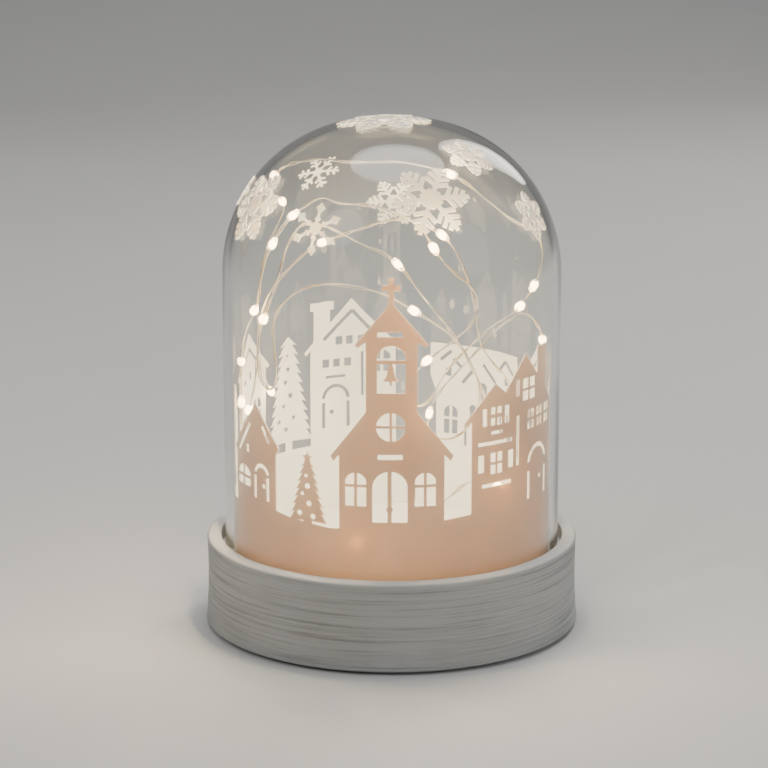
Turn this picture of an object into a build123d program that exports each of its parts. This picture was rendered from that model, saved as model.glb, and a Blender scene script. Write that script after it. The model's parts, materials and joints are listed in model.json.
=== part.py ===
from build123d import *
from math import asin, atan2, cos, hypot, pi, radians, sin, sqrt, tan
import os

# A lamp in the form of a snow globe: a glass dome stands in a turned wooden base, a village cut from
# a rolled sheet lines the glass, and a string of small lamps on bare wire is heaped inside.
# Millimetres, +Z up, origin at the middle of the floor under the feet. The church faces -Y.

# ---------------------------------------------------------------------------- driving dimensions

# Feet
pad_height = 1.0
pad_radius = 5.0
pad_reach = 35.4  # of each pad's middle from the axis, along X and along Y

# Turned base
base_bottom = pad_height
base_top = 30.5
base_top_radius = 62.5
base_bottom_radius = 63.0
base_waist_radius = 62.2
base_top_round = 1.5
base_bottom_round = 1.2
rebate_radius = 57.6  # the recess that the dome stands in
rebate_depth = 5.0
rebate_floor = base_top - rebate_depth

# Glass dome: a straight wall, a shoulder arc and a crown arc that runs on smoothly from it
glass_radius = 56.3
glass_wall = 2.3
shoulder_height = 120.3  # where the straight wall ends
shoulder_radius = 50.5
dome_top = 171.5
glass_lip_round = 0.7

# Village sheet, rolled into a tube that springs against the glass
sheet_thickness = 0.4
sheet_outer_radius = 53.2
arc_radius = 53.7  # the radius at which arc distances along the sheet are measured
sheet_inner_radius = sheet_outer_radius - sheet_thickness
sheet_top = 130.0  # above the highest point of the skyline
ground_line = 46.0  # the lowest line of the ground between the houses
seam_arc = 160.0  # where the ends of the sheet meet, in arc distance from the front
seam_gap = 0.4

# Snowflakes, thin moulded stickers on the outside of the glass
flake_thickness = 0.2

# Battery unit, let into the base from below
wall = 1.5
flange_bottom = 2.0
flange_top = flange_bottom + wall
flange_x = (-41.0, 40.5)
flange_half_y = 23.5
flange_corner = 4.0
housing_x = (-36.0, 35.5)
housing_half_y = 18.5
housing_top = 16.5
bay_top = housing_top - wall
bay_half_y = housing_half_y - wall
battery_bay_x = (-18.0, 34.0)
timer_bay_x = (-33.8, -20.2)
timer_bay_half_y = 16.3
cover_ledge = 0.9  # how far the cover's seat is wider than the timer bay, on each side
cover_play = 0.1
pocket_play = 0.5
pocket_roof = 17.0
flange_play = 0.3
board_post_radius = 1.3
board_post_x = (-31.8, -22.2)
board_post_y = (-13.4, 13.4)

# Three AAA cells side by side, the middle one the other way round
cell_radius = 5.25
cell_length = 44.5
cell_pitch = 11.2
cell_height = 9.15
nub_radius = 1.9
nub_length = 1.2
contact_thickness = 0.4
contact_z = (5.6, 13.0)
contact_half_width = 4.5
spring_wire = 0.6
spring_base_radius = 3.4
spring_cell_radius = 2.3
spring_turns = 3.5
lead_radius = 0.5

# Battery door
door_x = (-17.7, 35.0)  # free edge, hinge line
door_half_y = 16.7
hinge_pin_radius = 0.45
hinge_pin_reach = 0.9
hinge_play = 0.1
door_play = 0.3
hook_half_width = 2.0
hook_height = 1.6
latch_half_width = 3.0
finger_notch_radius = 4.0
finger_notch_depth = 0.9
grip_grooves = 5
grip_pitch = 1.6
grip_width = 0.7
grip_length = 12.0
grip_depth = 0.4

# Timer board and switch
board_x = (-33.5, -20.5)
board_half_y = 15.0
board_z = (8.0, 9.0)
switch_place = (-27.0, -6.0)
switch_travel = 2.0
knob_half_size = (1.4, 1.1)
knob_slot_play = (0.4, 0.3)
knob_z = (1.3, 4.6)
stem_half_size = (0.7, 0.9)
stem_top = 6.3
stem_play = 0.2
switch_body_half_size = (2.2, 4.6)
switch_body_bottom = 4.8
wire_exit = (-27.0, 6.0)  # where the light wire leaves the board and the base

# Screws
screw_places = [(x, y) for x in (-38.3, 37.8) for y in (-20.8, 20.8)]
screw_radius = 1.25
screw_head_radius = 2.4
screw_length = 8.0
countersink_depth = 1.2
cross_length = 2.8
cross_width = 0.6
cross_depth = 0.8

# Light string: two fine twisted wires, drawn as one tube, with a drop-shaped lamp here and there
wire_diameter = 0.8
wire_hole_radius = 2.25  # through the wood
cover_hole_radius = 1.3
grommet_shank_radius = 2.2
grommet_shank_length = 3.5
grommet_flange_radius = 3.4
grommet_flange_height = 0.9
grommet_bore_radius = 1.1
drop_half_length = 2.4
drop_radius = 1.5

os.makedirs("parts", exist_ok=True)
made = []


def finish(builder, name):
    """Label a finished piece and write it to its own file."""
    builder.part.label = name
    export_step(builder.part, "parts/" + name + ".step")
    made.append(name)


def box_between(x, y, z, mode=Mode.ADD):
    """A block between two X, two Y and two Z values."""
    with Locations(((x[0] + x[1]) / 2, (y[0] + y[1]) / 2, (z[0] + z[1]) / 2)):
        Box(x[1] - x[0], y[1] - y[0], z[1] - z[0], mode=mode)


# ---------------------------------------------------------------------------- feet and base

for x_side, x_name in ((-1, "left"), (1, "right")):
    for y_side, y_name in ((-1, "front"), (1, "rear")):
        with BuildPart() as foot_pad:
            with BuildSketch():
                with Locations((x_side * pad_reach, y_side * pad_reach)):
                    Circle(pad_radius)
            extrude(amount=pad_height)
        finish(foot_pad, "foot_pad_" + y_name + "_" + x_name)

with BuildPart() as base_body:
    with BuildSketch(Plane.XZ) as turning:
        with BuildLine():
            side_middle = (base_waist_radius, (base_bottom + base_top) / 2)
            Polyline(
                (base_top_radius, base_top),
                (rebate_radius, base_top),
                (rebate_radius, rebate_floor),
                (0, rebate_floor),
                (0, base_bottom),
                (base_bottom_radius, base_bottom),
            )
            ThreePointArc((base_bottom_radius, base_bottom), side_middle, (base_top_radius, base_top))
        make_face()
        rim = turning.vertices().filter_by_position(Axis.X, base_waist_radius, base_bottom_radius)
        fillet(rim.sort_by(Axis.Y)[0], base_bottom_round)
        rim = turning.vertices().filter_by_position(Axis.X, base_waist_radius + 0.2, base_bottom_radius)
        fillet(rim.sort_by(Axis.Y)[-1], base_top_round)
    revolve(axis=Axis.Z)
    # the pocket for the battery unit, the shallow seat of its flange, the screw holes and the wire hole
    box_between(
        (housing_x[0] - pocket_play, housing_x[1] + pocket_play),
        (-housing_half_y - pocket_play, housing_half_y + pocket_play),
        (base_bottom, pocket_roof),
        mode=Mode.SUBTRACT,
    )
    with BuildSketch(Plane.XY.offset(base_bottom)):
        with Locations((sum(flange_x) / 2, 0)):
            RectangleRounded(
                flange_x[1] - flange_x[0] + 2 * flange_play,
                2 * (flange_half_y + flange_play),
                flange_corner + flange_play,
            )
    extrude(amount=flange_top - base_bottom, mode=Mode.SUBTRACT)
    with BuildSketch(Plane.XY.offset(flange_top)):
        with Locations(*screw_places):
            Circle(screw_radius + 0.05)
    extrude(amount=screw_length, mode=Mode.SUBTRACT)
    with BuildSketch(Plane.XY.offset(pocket_roof - 1)):
        with Locations(wire_exit):
            Circle(wire_hole_radius)
    extrude(amount=rebate_floor - pocket_roof + 2, mode=Mode.SUBTRACT)
finish(base_body, "base_body")

# ---------------------------------------------------------------------------- glass dome

# The crown's centre lies on the axis, on the line through the shoulder's centre, so that the arcs are
# tangent where they meet.
shoulder_centre = glass_radius - shoulder_radius
rise = dome_top - shoulder_height
crown_drop = (shoulder_centre**2 - (rise - shoulder_radius) ** 2) / (2 * (rise - shoulder_radius))
crown_radius = rise + crown_drop
crown_centre = shoulder_height - crown_drop
join_angle = atan2(crown_drop, shoulder_centre)


def glass_profile(outward):
    """The two arcs of the dome at a distance outward of its outer face, from the wall to the axis."""
    shoulder = shoulder_radius + outward
    crown = crown_radius + outward
    middle = join_angle / 2
    start = (shoulder_centre + shoulder, shoulder_height)
    between = (shoulder_centre + shoulder * cos(middle), shoulder_height + shoulder * sin(middle))
    join = (shoulder_centre + shoulder * cos(join_angle), shoulder_height + shoulder * sin(join_angle))
    upper = (join_angle + pi / 2) / 2
    on_crown = (crown * cos(upper), crown_centre + crown * sin(upper))
    top = (0, crown_centre + crown)
    return start, between, join, on_crown, top


with BuildPart() as glass_dome:
    with BuildSketch(Plane.XZ) as glass_section:
        with BuildLine():
            start, between, join, on_crown, top = glass_profile(0)
            Line((glass_radius, rebate_floor), start)
            ThreePointArc(start, between, join)
            ThreePointArc(join, on_crown, top)
            outside_top = top
            start, between, join, on_crown, top = glass_profile(-glass_wall)
            Line(outside_top, top)
            ThreePointArc(top, on_crown, join)
            ThreePointArc(join, between, start)
            Line(start, (glass_radius - glass_wall, rebate_floor))
            Line((glass_radius - glass_wall, rebate_floor), (glass_radius, rebate_floor))
        make_face()
        fillet(glass_section.vertices().group_by(Axis.Y)[0], glass_lip_round)
    revolve(axis=Axis.Z)
finish(glass_dome, "glass_dome")

# ---------------------------------------------------------------------------- snowflakes

# A thin skin over the shoulder and the crown, which each flake is cut from.
with BuildPart() as flake_skin:
    with BuildSketch(Plane.XZ):
        with BuildLine():
            start, between, join, on_crown, top = glass_profile(0)
            ThreePointArc(start, between, join)
            ThreePointArc(join, on_crown, top)
            inner_start, inner_top = start, top
            start, between, join, on_crown, top = glass_profile(flake_thickness)
            Line(inner_top, top)
            ThreePointArc(top, on_crown, join)
            ThreePointArc(join, between, start)
            Line(start, inner_start)
        make_face()
    revolve(axis=Axis.Z)


def glass_plane(azimuth, height):
    """The plane that touches the shoulder at a height and at an angle from the front towards +X."""
    slope = asin((height - shoulder_height) / shoulder_radius)
    out = shoulder_centre + shoulder_radius * cos(slope)
    round_about = Vector(sin(radians(azimuth)), -cos(radians(azimuth)), 0)
    along = Vector(cos(radians(azimuth)), sin(radians(azimuth)), 0)
    normal = round_about * cos(slope) + Vector(0, 0, sin(slope))
    return Plane(origin=round_about * out + Vector(0, 0, height), x_dir=along, z_dir=normal)


def crown_plane(x, y):
    """The plane that touches the crown above a point."""
    up = Vector(x, y, sqrt(crown_radius**2 - x**2 - y**2))
    return Plane(origin=up + Vector(0, 0, crown_centre), x_dir=(1, 0, 0), z_dir=up)


def flake_arms(radius, turn, width, barbs):
    """Six arms from the middle; each pair of barbs is (place along the arm, length), in arm lengths."""
    with PolarLocations(0, 6, turn):
        Rectangle(radius, width, align=(Align.MIN, Align.CENTER))
    for place, length in barbs:
        with PolarLocations(place * radius, 6, turn):
            for lean in (-60, 60):
                Rectangle(length * radius, width, rotation=lean, align=(Align.MIN, Align.CENTER))


def fern_flake(radius, turn):
    """Broad arms with three pairs of barbs that shorten outwards."""
    flake_arms(radius, turn, 0.1 * radius + 0.2, ((0.4, 0.34), (0.6, 0.3), (0.79, 0.2)))
    RegularPolygon(0.3 * radius, 6, rotation=turn + 30)


def star_flake(radius, turn):
    """Slim arms with two pairs of barbs."""
    flake_arms(radius, turn, 0.08 * radius + 0.3, ((0.46, 0.28), (0.74, 0.26)))
    RegularPolygon(0.24 * radius, 6, rotation=turn + 30)


def diamond_flake(radius, turn):
    """Arms that end in large diamonds, each with a small diamond half-way."""
    flake_arms(0.7 * radius, turn, 0.1 * radius, ())
    for place, half_length, half_width in ((0.36, 0.13, 0.13), (0.79, 0.21, 0.19)):
        with PolarLocations(place * radius, 6, turn):
            across_arm, along_arm = half_width * radius, half_length * radius
            Polygon((-along_arm, 0), (0, -across_arm), (along_arm, 0), (0, across_arm))
    RegularPolygon(0.24 * radius, 6, rotation=turn + 30)


snowflakes = [
    ("snowflake_crown", crown_plane(-2.6, 0), fern_flake, 15.6, 0),
    ("snowflake_upper_right", glass_plane(47.0, 162.5), fern_flake, 9.0, 10),
    ("snowflake_left", glass_plane(-65.0, 146.0), fern_flake, 13.0, 12),
    ("snowflake_rear_left", glass_plane(-146.5, 148.6), star_flake, 8.6, 0),
    ("snowflake_front_left", glass_plane(-28.4, 142.9), diamond_flake, 8.8, 30),
    ("snowflake_front", glass_plane(16.0, 152.1), fern_flake, 13.0, 4),
    ("snowflake_rear", glass_plane(179.0, 134.7), fern_flake, 10.0, 0),
    ("snowflake_right", glass_plane(63.0, 143.2), fern_flake, 8.5, 20),
    ("snowflake_far_left", glass_plane(-92.0, 147.0), star_flake, 6.0, 15),
]

for name, plane, pattern, radius, turn in snowflakes:
    with BuildPart() as snowflake:
        with BuildSketch(plane):
            pattern(radius, turn)
        extrude(amount=3, both=True)
        add(flake_skin.part, mode=Mode.INTERSECT)
    finish(snowflake, name)

# ---------------------------------------------------------------------------- village sheet

# Places on the sheet are (s, z): s is the arc distance from the front towards +X, and z is the height.
# Each building is drawn on the plane that faces the sheet at the building's own middle, and cut
# straight through from there.
prism_start = 44.0
prism_depth = 14.0


def facing(middle):
    """The plane that faces the sheet from inside at an arc distance, with X along the sheet, Y up."""
    turn = middle / arc_radius
    outward = Vector(sin(turn), -cos(turn), 0)
    along = Vector(cos(turn), sin(turn), 0)
    return Plane(origin=outward * prism_start, x_dir=along, z_dir=outward)


def across(middle, s):
    """How far along the facing plane the place at arc distance s lies."""
    return sheet_outer_radius * sin((s - middle) / arc_radius)


def block(middle, *outline):
    """One building or stretch of ground as a solid that crosses the sheet."""
    with BuildSketch(facing(middle)) as front:
        Polygon(*[(across(middle, s), z) for s, z in outline])
    extrude(front.sketch, amount=prism_depth)


def fir(middle, foot, tip, reach, tiers, trunk=1.6):
    """A fir whose drooping branches reach out tier by tier, on a trunk that goes into the ground."""
    step = (tip - foot) / tiers
    right = []
    for tier in range(tiers):
        low = tip - step * (tier + 1)
        out = reach * (0.36 + 0.64 * tier / (tiers - 1))
        right += [(out, low), (out - branch_overhang * reach, low + 0.2 * step)]
    right[-1] = (trunk, foot + 0.4)
    right.append((trunk, foundation))
    left = [(-out, z) for out, z in reversed(right)]
    block(middle, (middle, tip), *[(middle + out, z) for out, z in right + left])


def polygon(middle, *places, mode=Mode.ADD):
    Polygon(*[(across(middle, s), z) for s, z in places], mode=mode)


def pane(middle, s0, s1, z0, z1, mode=Mode.ADD):
    """A plain oblong."""
    polygon(middle, (s0, z0), (s1, z0), (s1, z1), (s0, z1), mode=mode)


def panes(middle, columns, rows):
    """An oblong for each pair of (s0, s1) and (z0, z1)."""
    for s0, s1 in columns:
        for z0, z1 in rows:
            pane(middle, s0, s1, z0, z1)


def stroke(middle, width, *places):
    """A slot of one width along a line of places."""
    for (s0, z0), (s1, z1) in zip(places, places[1:]):
        run = hypot(s1 - s0, z1 - z0)
        side_s, side_z = width / 2 * (z1 - z0) / run, -width / 2 * (s1 - s0) / run
        polygon(
            middle,
            (s0 + side_s, z0 + side_z),
            (s1 + side_s, z1 + side_z),
            (s1 - side_s, z1 - side_z),
            (s0 - side_s, z0 - side_z),
        )


def arched(middle, s0, s1, z0, spring, top):
    """An opening with a round head."""
    x0, x1 = across(middle, s0), across(middle, s1)
    with BuildLine() as edge:
        Polyline((x0, spring), (x0, z0), (x1, z0), (x1, spring))
        ThreePointArc((x1, spring), ((x0 + x1) / 2, top), (x0, spring))
    make_face(edge.edges())


def arched_window(middle, s0, s1, z0, sill, spring, top, bar=1.0):
    """An arched window with one upright bar and one crossbar, whose top is at sill."""
    arched(middle, s0, s1, z0, spring, top)
    centre = (s0 + s1) / 2
    pane(middle, centre - bar / 2, centre + bar / 2, z0 - 1, top + 1, mode=Mode.SUBTRACT)
    pane(middle, s0 - 1, s1 + 1, sill - bar, sill, mode=Mode.SUBTRACT)


def door_outline(middle, s0, s1, foot, side_top, spring, top, width):
    """A closed door: an arched slot over it and a slot down each side, with bridges left between."""
    x0, x1 = across(middle, s0), across(middle, s1)
    centre = (x0 + x1) / 2
    with BuildLine() as edge:
        ThreePointArc((x0, spring), (centre, top), (x1, spring))
        Line((x1, spring), (x1 - width, spring))
        ThreePointArc((x1 - width, spring), (centre, top - width), (x0 + width, spring))
        Line((x0 + width, spring), (x0, spring))
    make_face(edge.edges())
    pane(middle, s0, s0 + width, foot, side_top)
    pane(middle, s1 - width, s1, foot, side_top)


def dot(middle, s, z, radius):
    with Locations((across(middle, s), z)):
        Circle(radius)


def star(middle, s, z, radius):
    """A five-pointed star, point up."""
    corners = []
    for point in range(10):
        reach = radius * (1 if point % 2 == 0 else 0.45)
        angle = pi / 2 + point * pi / 5
        corners.append((across(middle, s) + reach * cos(angle), z + reach * sin(angle)))
    Polygon(*corners)


branch_overhang = 0.19  # how far each branch of a fir stands out past the next tier's root, in reaches
foundation = 42.0  # how far the blocks reach down into the ground strip

# Middles of the buildings, in arc distance from the front.
church, star_fir, cottage = 0, -28.4, -53.5
tall_house, gable_house, low_house = 33.4, 48.5, 62.0
side_fir, side_house = 83.0, 102.0
row_right, row_left, chimney_house = 125.0, 144.0, 183.0
tall_fir, barn, last_fir = 209.4, 234.0, 255.0

with BuildPart() as skyline:
    with BuildSketch(Plane.XY.offset(rebate_floor)):
        Circle(sheet_outer_radius + 2)
    extrude(amount=ground_line - rebate_floor)
    # the ground between the houses
    block(-30, (-43, foundation), (-43, 48.8), (-35.8, 47.6), (-20.8, 45.9), (-16, 46.2), (-16, foundation))
    block(22, (16, foundation), (16, 48.7), (27.5, 49.9), (27.5, foundation))
    block(-70, (-77, foundation), (-77, 48), (-73, 47), (-64, 47), (-64, foundation))
    block(78, (69, foundation), (69, 50), (94, 49), (94, foundation))
    block(114, (110, foundation), (110, 48.5), (118, 48.2), (118, foundation))
    block(160, (151, foundation), (151, 48), (169, 48.4), (169, foundation))
    block(211, (198, foundation), (198, 48.3), (224, 48), (224, foundation))
    block(253, (244, foundation), (244, 48.4), (262, 48), (262, foundation))
    # church: nave and tower with their eaves, then the cross
    block(
        church,
        *[(-17.2, foundation), (-17.2, 70.6), (-19.1, 68.4), (-20.1, 70.0), (-8.4, 85.0)],
        *[(-8.4, 107.8), (-11.1, 105.9), (-11.9, 106.9), (-0.25, 121.0)],
        *[(11.6, 106.9), (11.0, 105.9), (8.1, 107.8), (8.1, 85.0)],
        *[(20.1, 70.0), (19.1, 68.4), (17.0, 70.6), (17.0, foundation)],
    )
    block(church, (-1.2, 119), (0.6, 119), (0.6, 128.6), (-1.2, 128.6))
    block(church, (-3.2, 124.4), (2.7, 124.4), (2.7, 126.3), (-3.2, 126.3))
    # the fir beside it, with a star on its tip
    fir(star_fir, foot=47.0, tip=67.8, reach=7.0, tiers=8)
    with BuildSketch(facing(star_fir)):
        star(star_fir, star_fir, 68.4, 2.0)
    extrude(amount=prism_depth)
    # cottage on the left
    block(
        cottage,
        *[(-65.5, foundation), (-65.5, 65.6), (-66.4, 64.2), (-67.2, 65.2), (-51.5, 82.5)],
        *[(-40.0, 69.5), (-41.4, 67.0), (-41.4, foundation)],
    )
    # tall house, gabled house and chimney, low house on the right
    block(
        tall_house,
        *[(26.5, foundation), (26.5, 80.5), (24.9, 78.9), (23.8, 80.0), (35.5, 92.0)],
        *[(44.0, 85.0), (44.0, foundation)],
    )
    block(gable_house, (40.3, foundation), (40.3, 88.7), (49.5, 99.5), (58.0, 90.3), (58.0, foundation))
    block(low_house, (57.0, foundation), (57.0, 100.5), (63.5, 100.5), (63.5, foundation))
    block(
        low_house,
        *[(51.0, foundation), (51.0, 75.2), (63.0, 86.5), (72.0, 78.0), (71.0, 76.9)],
        *[(70.0, 77.9), (70.0, foundation)],
    )
    # right side: a fir and a house
    fir(side_fir, foot=53.0, tip=84.0, reach=7.0, tiers=10)
    block(
        side_house,
        *[(92.5, foundation), (92.5, 78.0), (91.0, 76.4), (90.0, 77.4), (102.0, 90.0)],
        *[(114.0, 77.4), (113.0, 76.4), (111.5, 78.0), (111.5, foundation)],
    )
    # rear: a row of houses under one long roof
    block(row_right, (115.5, foundation), (115.5, 84.0), (135.5, 84.2), (135.5, foundation))
    block(
        row_left,
        *[(134.5, foundation), (134.5, 84.2), (154.0, 84.5), (154.0, 73.0), (152.0, 67.0)],
        (152.0, foundation),
    )
    # rear: the big house with a capped chimney
    block(
        chimney_house,
        *[(167.3, foundation), (167.3, 82.4), (166.0, 81.1), (165.0, 82.1), (183.3, 100.0)],
        *[(202.0, 82.1), (201.0, 81.1), (199.3, 82.7), (199.3, foundation)],
    )
    block(
        chimney_house,
        *[(191.5, 80), (191.5, 96.7), (190.0, 96.7), (190.0, 99.5), (199.4, 99.5)],
        *[(199.4, 96.7), (198.0, 96.7), (198.0, 80)],
    )
    # rear left: a tall fir, a barn and a last fir
    fir(tall_fir, foot=51.0, tip=89.3, reach=10.6, tiers=11)
    block(
        barn,
        *[(222.0, foundation), (222.0, 81.4), (220.8, 80.2), (219.8, 81.2), (234.0, 94.8)],
        *[(248.2, 81.2), (247.2, 80.2), (246.0, 81.4), (246.0, foundation)],
    )
    fir(last_fir, foot=53.0, tip=82.0, reach=6.4, tiers=10)

with BuildPart() as village_sleeve:
    with BuildSketch(Plane.XY.offset(rebate_floor)):
        Circle(sheet_outer_radius)
        Circle(sheet_inner_radius, mode=Mode.SUBTRACT)
    extrude(amount=sheet_top - rebate_floor)
    add(skyline.part, mode=Mode.INTERSECT)
    # the open seam
    with BuildSketch(facing(seam_arc)):
        pane(seam_arc, seam_arc - seam_gap / 2, seam_arc + seam_gap / 2, rebate_floor - 1, 60)
    extrude(amount=prism_depth, mode=Mode.SUBTRACT)
    # church
    with BuildSketch(facing(church)):
        pane(church, -4.7, 3.3, 109.7, 111.2)
        arched(church, -4.8, 4.3, 91.4, 102.2, 106.8)
        pane(church, -5.8, 5.3, 100.8, 102.2, mode=Mode.SUBTRACT)
        bell_side = [(0.3, 101.0), (0.9, 99.9), (1.1, 97.8), (1.5, 96.6), (2.4, 95.7), (2.4, 95.2)]
        bell = [(s - 0.45, z) for s, z in bell_side] + [(-0.45 - s, z) for s, z in reversed(bell_side)]
        polygon(church, *bell, mode=Mode.SUBTRACT)
        pane(church, -0.9, 0.0, 93.8, 95.4, mode=Mode.SUBTRACT)
        dot(church, -0.4, 80.3, 4.6)
        pane(church, -0.85, 0.05, 75, 86, mode=Mode.SUBTRACT)
        pane(church, -6, 5, 79.85, 80.75, mode=Mode.SUBTRACT)
        pane(church, -4.6, 3.4, 69.6, 71.2)
        for left in (-15.1, 7.25):
            arched_window(church, left, left + 6.8, 54.0, 61.2, 62.4, 65.0)
        arched(church, -6.3, 4.9, 48.8, 61.0, 65.6)
        pane(church, -1.5, -0.1, 48, 67, mode=Mode.SUBTRACT)
        with Locations((across(church, -0.8), 53.0)):
            Circle(1.1, mode=Mode.SUBTRACT)
    extrude(amount=prism_depth, mode=Mode.SUBTRACT)
    # round holes in the fir beside the church
    with BuildSketch(facing(star_fir)):
        for s, z, radius in (
            *[(-28.9, 62.4, 0.6), (-28.4, 59.0, 0.9), (-30.3, 56.3, 0.6)],
            *[(-27.8, 53.2, 0.9), (-31.4, 49.7, 0.9), (-26.4, 49.0, 0.9)],
        ):
            dot(star_fir, s, z, radius)
    extrude(amount=prism_depth, mode=Mode.SUBTRACT)
    # cottage
    with BuildSketch(facing(cottage)):
        arched_window(cottage, -63.8, -55.0, 53.6, 57.2, 58.2, 60.4)
        door_outline(cottage, -52.5, -44.6, 50.8, 58.5, 59.6, 62.8, 1.3)
        dot(cottage, -47.3, 55.4, 0.8)
        stroke(cottage, 1.3, (-63, 65), (-55, 75))
        stroke(cottage, 1.3, (-48, 75.5), (-44.5, 70.5))
        pane(cottage, -57.4, -55.6, 65.2, 67.8)
    extrude(amount=prism_depth, mode=Mode.SUBTRACT)
    # tall house
    with BuildSketch(facing(tall_house)):
        panes(tall_house, [(30.6, 32.2), (39.6, 41.4)], [(78.3, 84.0)])
        panes(tall_house, [(33.8, 35.4), (36.4, 38.2)], [(78.2, 80.6), (81.9, 84.2)])
        pane(tall_house, 34.0, 38.5, 75.2, 76.3)
        pane(tall_house, 28.9, 43.0, 71.8, 73.0)
        panes(tall_house, [(29.0, 31.2), (41.3, 43.5)], [(63.0, 68.8)])
        panes(tall_house, [(33.8, 35.7), (36.6, 38.5)], [(62.0, 65.0), (66.0, 69.0)])
        pane(tall_house, 30.5, 42.5, 57.8, 58.9)
    extrude(amount=prism_depth, mode=Mode.SUBTRACT)
    # gabled house
    with BuildSketch(facing(gable_house)):
        pane(gable_house, 45.0, 46.5, 86.0, 91.5)
        panes(gable_house, [(48.2, 51.2), (52.1, 55.1)], [(84.0, 87.2), (88.1, 91.3)])
        pane(gable_house, 45.2, 46.5, 63.0, 79.5)
    extrude(amount=prism_depth, mode=Mode.SUBTRACT)
    # low house
    with BuildSketch(facing(low_house)):
        columns = [(left + half, left + half + 1.6) for left in (51.0, 56.6, 62.2) for half in (0, 2.2)]
        panes(low_house, columns, [(74.0, 76.8), (77.7, 80.5)])
        door_outline(low_house, 51.2, 63.8, 50.2, 59.6, 62.6, 68.3, 1.4)
        dot(low_house, 59.0, 56.7, 0.8)
    extrude(amount=prism_depth, mode=Mode.SUBTRACT)
    # right side
    with BuildSketch(facing(side_fir)):
        for s, z, radius in ((83.4, 76.0, 0.8), (82.2, 70.0, 1.0), (84.6, 64.2, 1.2), (81.2, 58.6, 1.0)):
            star(side_fir, s, z, radius)
    extrude(amount=prism_depth, mode=Mode.SUBTRACT)
    with BuildSketch(facing(side_house)):
        stroke(side_house, 1.3, (96.5, 79.8), (102, 85.6), (107.5, 79.8))
        arched_window(side_house, 94.6, 100.6, 62.0, 68.2, 69.4, 71.6)
        arched_window(side_house, 103.4, 109.4, 62.0, 68.2, 69.4, 71.6)
        door_outline(side_house, 98.6, 105.4, 50.4, 55.2, 56.4, 59.2, 1.2)
    extrude(amount=prism_depth, mode=Mode.SUBTRACT)
    # row of houses
    with BuildSketch(facing(row_right)):
        stroke(row_right, 1.2, (118, 77.2), (122, 81.2), (126, 77.2))
        pane(row_right, 120.7, 122.6, 72.7, 75.3)
        stroke(row_right, 1.2, (127, 72.5), (133, 78.5))
        arched(row_right, 131.0, 134.8, 65.0, 69.6, 71.8)
        arched_window(row_right, 119.5, 125.5, 53.0, 58.6, 60.0, 62.3)
    extrude(amount=prism_depth, mode=Mode.SUBTRACT)
    with BuildSketch(facing(row_left)):
        stroke(row_left, 1.2, (138, 75.5), (142, 71.0))
        stroke(row_left, 1.2, (142.6, 76.6), (145.5, 79.3))
        stroke(row_left, 1.2, (146.2, 82.0), (150.3, 78.5))
        pane(row_left, 146.2, 148.3, 73.0, 75.8)
        arched_window(row_left, 143.7, 149.0, 52.0, 58.2, 59.8, 62.3)
        arched(row_left, 136.0, 138.6, 57.0, 61.0, 63.4)
        pane(row_left, 139.9, 140.9, 48.0, 56.0)
    extrude(amount=prism_depth, mode=Mode.SUBTRACT)
    # house with the chimney
    with BuildSketch(facing(chimney_house)):
        stroke(chimney_house, 1.3, (176, 88.5), (183, 96), (194, 86.2))
        panes(chimney_house, [(178.7, 181.0), (182.8, 185.3), (186.7, 189.3)], [(84.0, 87.0)])
        panes(chimney_house, [(183.4, 186.0), (187.7, 190.2), (191.8, 194.5)], [(76.0, 79.0)])
        pane(chimney_house, 185.6, 193.0, 72.0, 73.0)
        pane(chimney_house, 178.8, 179.8, 65.0, 81.0)
        door_outline(chimney_house, 184.0, 194.6, 54.0, 63.2, 64.6, 69.7, 1.2)
        dot(chimney_house, 190.8, 59.7, 0.8)
        arched_window(chimney_house, 169.2, 175.2, 73.6, 78.0, 79.2, 81.4)
    extrude(amount=prism_depth, mode=Mode.SUBTRACT)
    # tall fir
    with BuildSketch(facing(tall_fir)):
        for s, z, radius in (
            *[(209.8, 82.6, 0.8), (209.4, 77.7, 1.3), (210.8, 73.0, 1.3), (208.4, 68.0, 1.6)],
            *[(211.8, 64.4, 1.2), (207.0, 59.8, 1.2), (214.2, 59.2, 1.2), (210.7, 56.0, 1.3)],
        ):
            star(tall_fir, s, z, radius)
    extrude(amount=prism_depth, mode=Mode.SUBTRACT)
    # barn
    with BuildSketch(facing(barn)):
        stroke(barn, 1.2, (228.5, 84.6), (234, 89.8), (239.5, 84.6))
        pane(barn, 232.6, 234.4, 78.6, 81.4)
        stroke(barn, 1.2, (238, 77.6), (239.4, 79.4), (240.8, 77.6))
        arched_window(barn, 225.0, 231.0, 61.0, 67.4, 68.6, 71.0)
        door_outline(barn, 234.6, 243.2, 51.0, 60.0, 61.6, 66.2, 1.2)
    extrude(amount=prism_depth, mode=Mode.SUBTRACT)
    with BuildSketch(facing(last_fir)):
        for s, z, radius in ((255.2, 74.4, 0.8), (254.2, 68.8, 1.0), (256.4, 63.0, 1.1), (253.2, 58.0, 0.9)):
            star(last_fir, s, z, radius)
    extrude(amount=prism_depth, mode=Mode.SUBTRACT)
finish(village_sleeve, "village_sleeve")

# ---------------------------------------------------------------------------- battery unit

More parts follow.
